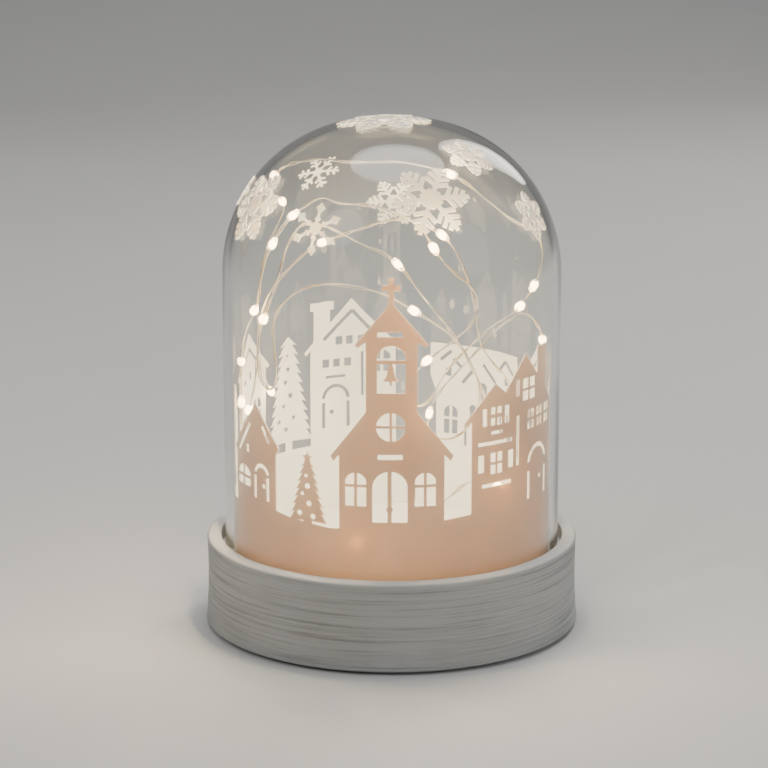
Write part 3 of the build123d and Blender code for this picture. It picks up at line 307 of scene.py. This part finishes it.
def plastic_material(name, low, high, grain=1400.0, depth=0.00006):
    """Moulded plastic with spark-eroded grain."""
    s = Shader(name)
    texture = s.noise(grain, 3)
    s.colour(s.ramp(s.noise(45, 3), (0.3, low), (0.7, high)))
    s.roughness(s.range(texture, 0.42, 0.62))
    s.bump(texture, depth, 0.7)
    return s.material


def metal_material(name, low, high, stretch=(1, 1, 1), rough=(0.2, 0.4)):
    s = Shader(name)
    brushed = s.noise(600, 4, stretch=stretch)
    s.colour(s.ramp(brushed, (0.3, low), (0.7, high)))
    s.set(Metallic=1.0)
    s.roughness(s.range(brushed, *rough))
    s.bump(brushed, 0.00003, 0.5)
    return s.material


def cell_material():
    """A cell's shrink jacket: dark blue, slightly metallic and scuffed along its length."""
    s = Shader("cell_jacket")
    scuff = s.noise(300, 5, stretch=(0.3, 1, 1))
    s.colour(s.ramp(scuff, (0.35, (0.03, 0.06, 0.12)), (0.7, (0.05, 0.09, 0.17))))
    s.set(Metallic=0.55)
    s.roughness(s.range(scuff, 0.22, 0.38))
    return s.material


def board_material():
    """Green solder mask with fine copper tracks showing through."""
    s = Shader("circuit_board")
    tracks = s.node("TexBrick")
    tracks.inputs["Scale"].default_value = 260
    tracks.inputs["Mortar Size"].default_value = 0.03
    tracks.inputs["Color1"].default_value = (0.02, 0.17, 0.07, 1)
    tracks.inputs["Color2"].default_value = (0.02, 0.20, 0.09, 1)
    tracks.inputs["Mortar"].default_value = (0.07, 0.32, 0.15, 1)
    s.link(s.place(), tracks.inputs["Vector"])
    s.colour(tracks.outputs["Color"])
    s.roughness(s.range(s.noise(300), 0.22, 0.36))
    return s.material


def felt_material():
    s = Shader("felt_pad")
    fuzz = s.noise(1500, 6)
    s.colour(s.ramp(fuzz, (0.3, (0.50, 0.49, 0.45)), (0.7, (0.68, 0.67, 0.62))))
    s.set(Roughness=0.95, Sheen_Weight=0.4)
    s.bump(fuzz, 0.0004, 0.9)
    return s.material


painted_wood = painted_wood_material()
clear_glass = clear_glass_material()
white_sheet = sheet_material()
cut_edge = cut_edge_material()
white_sticker = sticker_material()
silver_wire = wire_material()
lamp_core = lamp_material("warm_led", (1.0, 0.86, 0.62), 45.0)
epoxy_drop = epoxy_material()

# ------------------------------------------------------------------ camera, at the photograph's angle
camera_data = bpy.data.cameras.new("camera")
camera_data.sensor_width = 36
camera_data.lens = 140.625
camera_data.clip_start = 0.01
camera = add_object("camera", camera_data)
camera.location = (-0.00258, -0.9778, 0.31865)
camera.rotation_euler = (pi / 2 - 0.238, 0, 0)
bpy.context.scene.camera = camera

# ------------------------------------------------------------------ light string
strand_radius = 0.00022
strand_offset = 0.00023
wire_route = [
    (-27, 6, 9), (-27.4, 6, 20), (-27, 6, 31), (-27.5, -4, 36.5), (-28, -17, 31.5),
    (-23.9, -30.9, 28.5), (-17.5, -42.3, 31), (-13.2, -48.8, 38), (-8.8, -50, 45), (2.9, -50.6, 46.5),
    (16.6, -48, 54.2), (24.9, -44.1, 60.8), (31.7, -39.6, 59), (35.9, -35.8, 54.5), (42.5, -27.7, 57),
    (47.8, -16.6, 65.5), (50.4, -5.9, 76), (50.5, -1.5, 87.5), (49.7, -9.3, 96), (48.6, -14.2, 102.5),
    (45.7, -21.9, 108.5), (42.4, -27.7, 112.6), (35.1, -33.1, 109.5), (29.5, -37, 104.5),
    (22.9, -41.1, 98), (16.1, -46, 92), (12.7, -48.2, 87.4), (10.9, -49.3, 80.8), (13.2, -48.8, 75.5),
    (19, -46.8, 74.5), (24.4, -44.3, 78), (28.3, -42, 86), (26.8, -42.9, 95), (22.1, -45.5, 104.5),
    (16, -48, 114), (10.1, -49.4, 121.4), (4.7, -49.7, 129), (-1, -48.1, 135), (-8.8, -46.3, 137.5),
    (-16.1, -42.8, 141), (-22.9, -38.4, 143.2), (-29.2, -33.6, 142), (-33.3, -33.4, 135),
    (-35.9, -34.9, 125), (-39.3, -31.8, 115), (-42.3, -28, 106.5), (-42.9, -27, 97), (-42.2, -28.1, 90),
    (-39.2, -31.4, 86.5), (-36.7, -34.1, 90.5), (-37.1, -34, 99), (-38.1, -33, 109),
    (-35.1, -36.1, 117.5), (-26.8, -42.4, 124), (-18, -46.6, 125.6), (-4.4, -49.8, 123.8),
    (3.4, -50, 119.8), (10.7, -49, 114.8), (17.1, -46, 110.5), (21.5, -43.9, 104), (26.3, -41.5, 95.5),
    (29.7, -39, 86), (33.2, -36.5, 79.5), (37.4, -33, 79.5), (39, -31.4, 85.5), (36.6, -33.7, 92),
    (31.2, -37.8, 98.5), (27.6, -40.6, 105), (26.8, -41.2, 114.5), (24.4, -42.5, 125),
    (19.5, -42.2, 136.8), (12.2, -43.3, 143.2), (2.2, -42.7, 145.6), (-4.9, -43.2, 144),
    (-12.2, -42, 141.5), (-18.5, -40.9, 138.8), (-24.8, -38.9, 136), (-30.2, -35.6, 130.5),
    (-35.6, -32.8, 124.5), (-39.7, -28.3, 118), (-42.3, -24.2, 109), (-43.3, -22.6, 99),
    (-43.9, -22.2, 89), (-45.7, -19.9, 80.5), (-47.5, -17.2, 73.5), (-49.6, -10.2, 69.5),
    (-50.4, -5.4, 73.5), (-50.5, -3.9, 80), (-50.2, -7.3, 88), (-49.2, -12.3, 95),
    (-47.8, -16.6, 102.5), (-45.2, -23, 109), (-42.5, -27.1, 116), (-41.6, -27.7, 124.5),
    (-39.6, -28.1, 131.5), (-36, -28.6, 138), (-33.4, -29, 142.2), (-28.8, -30.7, 146.3),
    (-22.3, -32.9, 151), (-16.8, -36.3, 148.8), (-8.8, -39.2, 149.5), (0.5, -40.7, 147.3),
    (8.8, -41.1, 143), (11.5, -42.9, 138.5), (14.8, -44.4, 133.5), (19.5, -45.3, 128.5),
    (24.8, -43.9, 124.5), (27.3, -42.5, 119), (25.6, -43.1, 112), (20.5, -42.5, 107),
    (13.6, -45.4, 102.4), (8.1, -46.8, 98.3), (5.1, -47.2, 92.6), (5.1, -46.8, 87.8),
    (8.4, -45.8, 84.8), (12.7, -44.2, 87.5), (15.3, -42.4, 93.5), (21.4, -39.1, 100.5),
    (28.7, -35.8, 106.6), (33.5, -31.1, 109.5), (38.3, -27.9, 111.4), (43.4, -22.2, 115.6),
    (47.6, -16.9, 122.6), (49.1, -11.7, 127), (48.4, -10.5, 132), (45.6, -14.1, 136),
    (42.3, -19.7, 138.6), (37.9, -23.9, 141.5), (32.4, -26.9, 146.5), (27.3, -28, 151),
    (21.5, -27.6, 155.4), (15, -27.6, 158.2), (3, -26.8, 160.8), (-7, -26.6, 160.4), (-15, -24.4, 160),
    (-22, -18.5, 160.2), (-30, -10.5, 158), (-36.5, -1.5, 154.6), (-41.3, 5.4, 149),
    (-41.4, 15.6, 143.5), (-38.7, 24.9, 141.5), (-37, 31.2, 136.4), (-40.5, 29.8, 129),
    (-43.9, 24.9, 121.5), (-45.5, 22.4, 111), (-46.2, 21, 100), (-46.3, 20.7, 89), (-44.9, 23, 79.5),
    (-42, 28.1, 72),
]
drop_runs = [7, 12, 18, 26, 36, 44, 56, 70, 75, 83, 86, 88, 91, 94, 96, 103, 110, 120, 121, 130, 137, 140]


def smooth_line(points, steps=10):
    """The points along the NURBS spline whose control points are these, in metres."""
    curve = bpy.data.curves.new("route", "CURVE")
    curve.dimensions = "3D"
    curve.resolution_u = steps
    spline = curve.splines.new("NURBS")
    spline.points.add(len(points) - 1)
    for point, place in zip(spline.points, points):
        point.co = (*place, 1)
    spline.order_u = 3
    spline.use_endpoint_u = True
    holder = bpy.data.objects.new("route", curve)
    line = bpy.data.meshes.new_from_object(holder)
    places = [v.co.copy() for v in line.vertices]
    bpy.data.objects.remove(holder)
    bpy.data.meshes.remove(line)
    bpy.data.curves.remove(curve)
    return places


def frames_along(places):
    """A place, a direction and two cross directions for each point, carried along without twist."""
    side = Vector((1, 0, 0))
    frames = []
    for i, place in enumerate(places):
        ahead = (places[min(i + 1, len(places) - 1)] - places[max(i - 1, 0)]).normalized()
        side = (side - ahead * side.dot(ahead)).normalized()
        frames.append((place, ahead, side, ahead.cross(side)))
    return frames


def tube(bm, centres, radii, sides=8):
    """Adds one closed tube round a line of centres."""
    rings = []
    for (place, ahead, side, up), radius in zip(frames_along(centres), radii):
        ring = []
        for k in range(sides):
            turn = tau * k / sides
            ring.append(bm.verts.new(place + (side * cos(turn) + up * sin(turn)) * radius))
        rings.append(ring)
    for one, other in zip(rings, rings[1:]):
        for k in range(sides):
            bm.faces.new((one[k], one[(k + 1) % sides], other[(k + 1) % sides], other[k]))
    bm.faces.new(list(reversed(rings[0])))
    bm.faces.new(rings[-1])


wire_line = smooth_line([tuple(c / 1000 for c in p) for p in wire_route])
wire_mesh = bmesh.new()
travelled = 0.0
strand_centres = ([], [])
last = wire_line[0]
for place, ahead, side, up in frames_along(wire_line):
    travelled += (place - last).length
    last = place
    turn = tau * travelled / 0.021 + 1.2 * sin(travelled * 90)
    gap = strand_offset * (1.0 + 0.5 * sin(travelled * 210))
    offset = (side * cos(turn) + up * sin(turn)) * gap
    strand_centres[0].append(place + offset)
    strand_centres[1].append(place - offset)
for centres in strand_centres:
    tube(wire_mesh, centres, [strand_radius] * len(centres), 6)
mesh = bpy.data.meshes.new("light_string")
wire_mesh.to_mesh(mesh)
wire_mesh.free()
mesh.shade_smooth()
light_string = add_object("light_string", mesh)
wear(light_string, silver_wire)
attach(light_string, "base")
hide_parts("light_wire")

# Lamp drops: an uneven teardrop of epoxy round a lit chip on each of the chosen runs and at the end
rng = Random(7)
drop_sides = 20
drop_rings = 16


def drop_shape(bm, centre, along, half_length, radius, lean, seed):
    """One teardrop, fatter towards one end, slightly uneven."""
    side = along.cross(Vector((0.3, 0.2, 1))).normalized()
    up = along.cross(side)
    rings = []
    for r in range(1, drop_rings):
        share = r / drop_rings
        s = -cos(pi * share)
        swell = sin(pi * share) ** 0.8 * (1 - lean * s)
        ring = []
        for k in range(drop_sides):
            turn = tau * k / drop_sides
            out = (side * cos(turn) + up * sin(turn)) * radius * swell
            spot = centre + along * half_length * s + out
            spot += out * 0.12 * noise.noise(spot * 900 + Vector((seed, 0, 0)))
            ring.append(bm.verts.new(spot))
        rings.append(ring)
    first = bm.verts.new(centre - along * half_length)
    final = bm.verts.new(centre + along * half_length)
    for k in range(drop_sides):
        bm.faces.new((first, rings[0][(k + 1) % drop_sides], rings[0][k]))
        bm.faces.new((final, rings[-1][k], rings[-1][(k + 1) % drop_sides]))
    for one, other in zip(rings, rings[1:]):
        for k in range(drop_sides):
            nxt = (k + 1) % drop_sides
            bm.faces.new((one[k], one[nxt], other[nxt], other[k]))


control = [Vector(p) / 1000 for p in wire_route]
drops = [((control[run] + control[run + 1]) / 2, control[run + 1] - control[run]) for run in drop_runs]
drops.append((control[-1], control[-1] - control[-2]))
shells, cores = bmesh.new(), bmesh.new()
for number, (centre, along) in enumerate(drops):
    along = along.normalized()
    if rng.random() < 0.5:
        along = -along
    half_length = rng.uniform(0.0021, 0.0026)
    radius = rng.uniform(0.00125, 0.0015)
    drop_shape(shells, centre, along, half_length, radius, 0.24, number)
    drop_shape(cores, centre - along * 0.0002, along, half_length * 0.62, radius * 0.6, 0.1, number)
for name, bm, material in (("lamp_drops", shells, epoxy_drop), ("lamp_chips", cores, lamp_core)):
    bmesh.ops.recalc_face_normals(bm, faces=bm.faces)
    mesh = bpy.data.meshes.new(name)
    bm.to_mesh(mesh)
    bm.free()
    mesh.shade_smooth()
    piece = add_object(name, mesh)
    wear(piece, material)
    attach(piece, "base")
lamp_chips = bpy.data.objects["lamp_chips"]

# the light that the chips give off
chip_power = 0.045
lamp_chips.visible_shadow = False
for centre, along in drops:
    data = bpy.data.lights.new("chip_light", "POINT")
    data.energy = chip_power
    data.color = (1.0, 0.84, 0.62)
    data.shadow_soft_size = 0.0012
    glow = add_object("chip_light", data)
    glow.location = centre
    glow.visible_camera = False
    glow.visible_transmission = False
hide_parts("led_drops")

# ------------------------------------------------------------------ glass dome
shoulder_centre = glass_radius - shoulder_radius
rise = glass_high[2] - shoulder_height
crown_drop = (shoulder_centre**2 - (rise - shoulder_radius) ** 2) / (2 * (rise - shoulder_radius))
crown_radius = rise + crown_drop
crown_centre = shoulder_height - crown_drop
join_angle = atan2(crown_drop, shoulder_centre)
lip_round = 0.0007


def dome_profile(inward):
    """(radius, height) down the dome, from just off its axis to the straight wall's foot."""
    crown, shoulder = crown_radius - inward, shoulder_radius - inward
    points = []
    for i in range(14):
        angle = pi / 2 + (join_angle - pi / 2) * (i + 0.25) / 14
        points.append((crown * cos(angle), crown_centre + crown * sin(angle)))
    for i in range(36):
        angle = join_angle * (1 - i / 36)
        points.append((shoulder_centre + shoulder * cos(angle), shoulder_height + shoulder * sin(angle)))
    wall_foot = rebate_floor + lip_round
    for i in range(31):
        points.append((glass_radius - inward, shoulder_height + (wall_foot - shoulder_height) * i / 30))
    return points


outer_wall = dome_profile(0)
inner_wall = dome_profile(glass_wall)
lip = []
for i in range(1, 6):
    angle = pi / 2 * i / 6
    lip.append((glass_radius - lip_round * (1 - cos(angle)), rebate_floor + lip_round * (1 - sin(angle))))
inner_foot = glass_radius - glass_wall
for i in range(6):
    angle = pi / 2 * (1 - i / 6)
    lip.append((inner_foot + lip_round * (1 - cos(angle)), rebate_floor + lip_round * (1 - sin(angle))))
inside_from = len(outer_wall) + len(lip)
profile = outer_wall + lip + list(reversed(inner_wall))
turns = 200
bm = bmesh.new()
rows = []
for level, (radius, height) in enumerate(profile):
    row = []
    for k in range(turns):
        angle = tau * k / turns
        wave = 0.0
        if level >= inside_from:
            spot = Vector((cos(angle) * radius, sin(angle) * radius, height * 0.6)) * 45
            wave = 0.00010 * noise.noise(spot) * min(1.0, radius / 0.01)
        row.append(bm.verts.new(((radius + wave) * cos(angle), (radius + wave) * sin(angle), height)))
    rows.append(row)
for one, other in zip(rows, rows[1:]):
    for k in range(turns):
        nxt = (k + 1) % turns
        bm.faces.new((one[k], other[k], other[nxt], one[nxt]))
for row, height, flip in ((rows[0], crown_centre + crown_radius, True),
                          (rows[-1], crown_centre + crown_radius - glass_wall, False)):
    tip = bm.verts.new((0, 0, height))
    for k in range(turns):
        pair = (row[k], row[(k + 1) % turns])
        bm.faces.new((tip, *pair) if flip else (tip, *reversed(pair)))
bmesh.ops.recalc_face_normals(bm, faces=bm.faces)
mesh = bpy.data.meshes.new("glass_cloche")
bm.to_mesh(mesh)
bm.free()
mesh.shade_smooth()
glass_cloche = add_object("glass_cloche", mesh)
wear(glass_cloche, clear_glass)
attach(glass_cloche, "dome")
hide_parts("glass_dome")

# ------------------------------------------------------------------ village sheet
bm = bmesh.new()
bm.from_mesh(frame["nodes"]["village_sleeve"].data)
bmesh.ops.remove_doubles(bm, verts=bm.verts, dist=2e-6)
bm.normal_update()
for face in bm.faces:
    middle = face.calc_center_median()
    outward = Vector((middle.x, middle.y, 0)).normalized()
    face.material_index = 0 if abs(face.normal.dot(outward)) > 0.7 else 1
    face.smooth = face.material_index == 0
for edge in bm.edges:
    kinds = {face.material_index for face in edge.link_faces}
    edge.smooth = len(kinds) == 1
mesh = bpy.data.meshes.new("village_sheet")
bm.to_mesh(mesh)
bm.free()
village_sheet = add_object("village_sheet", mesh)
wear(village_sheet, white_sheet, cut_edge)
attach(village_sheet, "dome")
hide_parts("village_sleeve")

# ------------------------------------------------------------------ turned base
base_turns = 320
groove_rng = Random(11)
grooves = []
height = base_bottom + 0.0016
while height < base_top - 0.0018:
    depth = groove_rng.uniform(0.0001, 0.0006)
    width = groove_rng.uniform(0.00025, 0.0007)
    grooves.append((height, depth, width, groove_rng.random() * 50))
    height += groove_rng.uniform(0.0006, 0.0019)


def groove_depth(angle, z):
    """How far the side is cut in by the lathe's and the brush's lines, which fade in and out round it."""
    total = 0.0
    for place, depth, width, seed in grooves:
        reach = abs(z - place - 0.0002 * sin(angle * 2 + seed))
        if reach < width:
            fade = 0.55 + 0.6 * noise.noise(Vector((cos(angle) * 1.3, sin(angle) * 1.3, seed)))
            total += depth * max(0.0, fade) * (1 - reach / width)
    return total


def side_radius(z):
    """The side's gentle hollow between the rims."""
    share = (z - base_bottom) / (base_top - base_bottom)
    straight = base_bottom_radius + (base_top_radius - base_bottom_radius) * share
    middle = (base_bottom_radius + base_top_radius) / 2
    return straight - (middle - base_waist_radius) * 4 * share * (1 - share)


base_profile = [(0.0004, base_bottom), (0.030, base_bottom), (0.050, base_bottom), (0.0600, base_bottom)]
low_round = 0.0012
high_round = 0.0015
for i in range(1, 7):
    angle = pi / 2 * i / 7
    radius = base_bottom_radius - low_round * (1 - sin(angle))
    base_profile.append((radius, base_bottom + low_round * (1 - cos(angle))))
side_steps = 96
for i in range(side_steps + 1):
    z = base_bottom + low_round + (base_top - high_round - base_bottom - low_round) * i / side_steps
    base_profile.append((side_radius(z), z))
side_rows = range(10, 10 + side_steps + 1)
for i in range(1, 8):
    angle = pi / 2 * i / 7
    radius = base_top_radius - high_round * (1 - cos(angle))
    base_profile.append((radius, base_top - high_round * (1 - sin(angle))))
for radius in (0.0602, 0.0594, 0.0586):
    base_profile.append((radius, base_top))
for i in range(5):
    angle = pi / 2 * i / 4
    base_profile.append((rebate_radius + 0.0004 * (1 - sin(angle)), base_top - 0.0004 * (1 - cos(angle))))
base_profile += [(rebate_radius, base_top - 0.0025), (rebate_radius, rebate_floor + 0.0002)]
base_profile += [(0.0572, rebate_floor), (0.045, rebate_floor), (0.025, rebate_floor), (0.0004, rebate_floor)]

bm = bmesh.new()
rows = []
for level, (radius, height) in enumerate(base_profile):
    row = []
    for k in range(base_turns):
        angle = tau * k / base_turns
        reach = radius
        if level in side_rows:
            reach -= groove_depth(angle, height)
        elif radius > 0.058:
            reach += 0.00008 * noise.noise(Vector((cos(angle) * 5, sin(angle) * 5, height * 400)))
        row.append(bm.verts.new((reach * cos(angle), reach * sin(angle), height)))
    rows.append(row)
for one, other in zip(rows, rows[1:]):
    for k in range(base_turns):
        nxt = (k + 1) % base_turns
        bm.faces.new((one[k], one[nxt], other[nxt], other[k]))
bm.faces.new(list(reversed(rows[0])))
bm.faces.new(rows[-1])
bmesh.ops.recalc_face_normals(bm, faces=bm.faces)
mesh = bpy.data.meshes.new("turned_base")
bm.to_mesh(mesh)
bm.free()
turned_base = add_object("turned_base", mesh)


def cutter_prism(bm, outline, low, high):
    """Adds a closed prism with this outline, for cutting."""
    below = [bm.verts.new((x, y, low)) for x, y in outline]
    above = [bm.verts.new((x, y, high)) for x, y in outline]
    count = len(outline)
    for k in range(count):
        nxt = (k + 1) % count
        bm.faces.new((below[k], below[nxt], above[nxt], above[k]))
    bm.faces.new(list(reversed(below)))
    bm.faces.new(above)


def circle_outline(middle, radius, count=32):
    angles = [tau * k / count for k in range(count)]
    return [(middle[0] + radius * cos(angle), middle[1] + radius * sin(angle)) for angle in angles]


def rounded_outline(x, y, radius, steps=8):
    points = []
    for cx, cy, start in ((x[1], y[1], 0), (x[0], y[1], 1), (x[0], y[0], 2), (x[1], y[0], 3)):
        inward = (-1 if cx == x[1] else 1, -1 if cy == y[1] else 1)
        for k in range(steps + 1):
            angle = pi / 2 * (start + k / steps)
            x_place = cx + inward[0] * radius + radius * cos(angle)
            points.append((x_place, cy + inward[1] * radius + radius * sin(angle)))
    return points


housing_low, housing_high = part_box("battery_housing")
flange_top = 0.0035
flange_play = 0.0003
seat_x = (housing_low[0] - flange_play, housing_high[0] + flange_play)
seat_y = (housing_low[1] - flange_play, housing_high[1] + flange_play)
seat_corner = 0.0043
pocket_x = (-0.0365, 0.0360)
pocket_y = (-0.0190, 0.0190)
pocket_corner = 0.0003
below_base = base_bottom - 0.002
overcut = 0.001
wire_hole_radius = 0.00225
screw_x = (-0.0383, 0.0378)
screw_y = (-0.0208, 0.0208)
screw_hole_radius = 0.0013
screw_hole_depth = 0.008
screw_places = [(x, y) for x in screw_x for y in screw_y]
cuts = []
for outline, low, high in (
    (rounded_outline(pocket_x, pocket_y, pocket_corner, 3), below_base, pocket_roof),
    (rounded_outline(seat_x, seat_y, seat_corner), below_base, flange_top),
    (circle_outline(wire_exit, wire_hole_radius), pocket_roof - overcut, rebate_floor + overcut),
    *[
        (circle_outline(place, screw_hole_radius, 20), flange_top - overcut, flange_top + screw_hole_depth)
        for place in screw_places
    ],
):
    bm = bmesh.new()
    cutter_prism(bm, outline, low, high)
    bmesh.ops.recalc_face_normals(bm, faces=bm.faces)
    mesh = bpy.data.meshes.new("cut")
    bm.to_mesh(mesh)
    bm.free()
    cut = add_object("cut", mesh)
    cuts.append(cut)
    modifier = turned_base.modifiers.new("cut", "BOOLEAN")
    modifier.operation = "DIFFERENCE"
    modifier.solver = "EXACT"
    modifier.object = cut
bpy.context.view_layer.update()
graph = bpy.context.evaluated_depsgraph_get()
carved = bpy.data.meshes.new_from_object(turned_base.evaluated_get(graph))
turned_base.modifiers.clear()
turned_base.data = carved
for cut in cuts:
    bpy.data.objects.remove(cut)
carved.shade_smooth()
carved.set_sharp_from_angle(angle=radians(38))
wear(turned_base, painted_wood)
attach(turned_base, "base")
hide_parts("base_body")

# ------------------------------------------------------------------ finishes of the CAD nodes that stay
black_plastic = plastic_material("black_plastic", (0.012, 0.012, 0.013), (0.028, 0.028, 0.030))
white_plastic = plastic_material("white_plastic", (0.66, 0.66, 0.63), (0.78, 0.78, 0.75))
chip_plastic = plastic_material("chip_plastic", (0.010, 0.010, 0.012), (0.030, 0.030, 0.034), 2600, 0.00002)
zinc_steel = metal_material("zinc_steel", (0.52, 0.54, 0.56), (0.72, 0.73, 0.74))
contact_steel = metal_material("contact_steel", (0.62, 0.60, 0.55), (0.80, 0.78, 0.73), (1, 1, 6), (0.16, 0.32))
cell_jacket = cell_material()
circuit_board = board_material()
felt_pad = felt_material()
resistor_ceramic = plastic_material("resistor_ceramic", (0.55, 0.44, 0.26), (0.68, 0.56, 0.36), 2200, 0.00003)
red_insulation = plastic_material("red_insulation", (0.42, 0.012, 0.010), (0.58, 0.03, 0.02), 900, 0.00003)
black_insulation = plastic_material("black_insulation", (0.010, 0.010, 0.010), (0.03, 0.03, 0.03), 900, 0.00003)
white_rubber = plastic_material("white_rubber", (0.58, 0.57, 0.53), (0.72, 0.71, 0.67), 1100, 0.00005)

finishes = {
    "white_sticker": white_sticker,
    "black_plastic": black_plastic,
    "white_plastic": white_plastic,
    "chip_plastic": chip_plastic,
    "zinc_steel": zinc_steel,
    "contact_steel": contact_steel,
    "cell_jacket": cell_jacket,
    "circuit_board": circuit_board,
    "felt_pad": felt_pad,
    "resistor_ceramic": resistor_ceramic,
    "red_insulation": red_insulation,
    "black_insulation": black_insulation,
    "white_rubber": white_rubber,
}
for part in frame["record"]["subparts"]:
    finish = finishes.get(part["material_slot"])
    if finish is not None:
        node = frame["nodes"][part["node"]]
        for slot in range(max(1, len(node.data.materials))):
            if slot < len(node.material_slots):
                node.material_slots[slot].material = finish

# ------------------------------------------------------------------ floor, light and world
floor_mesh = bmesh.new()
depth_steps = []
for i in range(41):
    depth_steps.append((-3.0 + 4.2 * i / 40, 0.0))
for i in range(1, 25):
    angle = pi / 2 * i / 24
    depth_steps.append((1.2 + 0.8 * sin(angle), 0.8 * (1 - cos(angle))))
depth_steps.append((2.0, 4.0))
left = [floor_mesh.verts.new((-5, y, z)) for y, z in depth_steps]
right = [floor_mesh.verts.new((5, y, z)) for y, z in depth_steps]
for i in range(len(depth_steps) - 1):
    floor_mesh.faces.new((left[i], right[i], right[i + 1], left[i + 1]))
mesh = bpy.data.meshes.new("floor")
floor_mesh.to_mesh(mesh)
floor_mesh.free()
mesh.shade_smooth()
floor = add_object("floor", mesh)
floor_shader = Shader("pale_floor")
floor_tone = floor_shader.noise(3.0, 3)
floor_shader.colour(floor_shader.ramp(floor_tone, (0.3, (0.80, 0.79, 0.77)), (0.7, (0.85, 0.84, 0.82))))
floor_shader.set(Roughness=0.7)
wear(floor, floor_shader.material)


def lamp(name, place, aim, size, power, colour=(1, 1, 1)):
    """An oval softbox that faces a point."""
    data = bpy.data.lights.new(name, "AREA")
    data.shape = "ELLIPSE"
    data.size, data.size_y = size
    data.energy = power
    data.color = colour
    light = add_object(name, data)
    light.location = place
    light.rotation_euler = (Vector(aim) - Vector(place)).to_track_quat("-Z", "Y").to_euler()


dome_middle = (0, 0, 0.09)
lamp("key", (-0.75, -0.75, 1.05), dome_middle, (0.7, 0.7), 3.2)
lamp("fill", (1.0, -0.6, 0.6), dome_middle, (0.6, 0.8), 2.0, (0.90, 0.95, 1.0))
lamp("top", (0.05, 0.25, 1.3), dome_middle, (0.9, 0.9), 7.5)
lamp("back", (0.5, 0.9, 0.75), dome_middle, (0.35, 0.9), 3, (1.0, 0.96, 0.9))
for name in ("key", "fill"):
    bpy.data.objects[name].visible_glossy = False

world = bpy.data.worlds.new("studio")
bpy.context.scene.world = world
world.use_nodes = True
world.node_tree.nodes["Background"].inputs["Color"].default_value = (0.62, 0.64, 0.68, 1)
world.node_tree.nodes["Background"].inputs["Strength"].default_value = 0.19
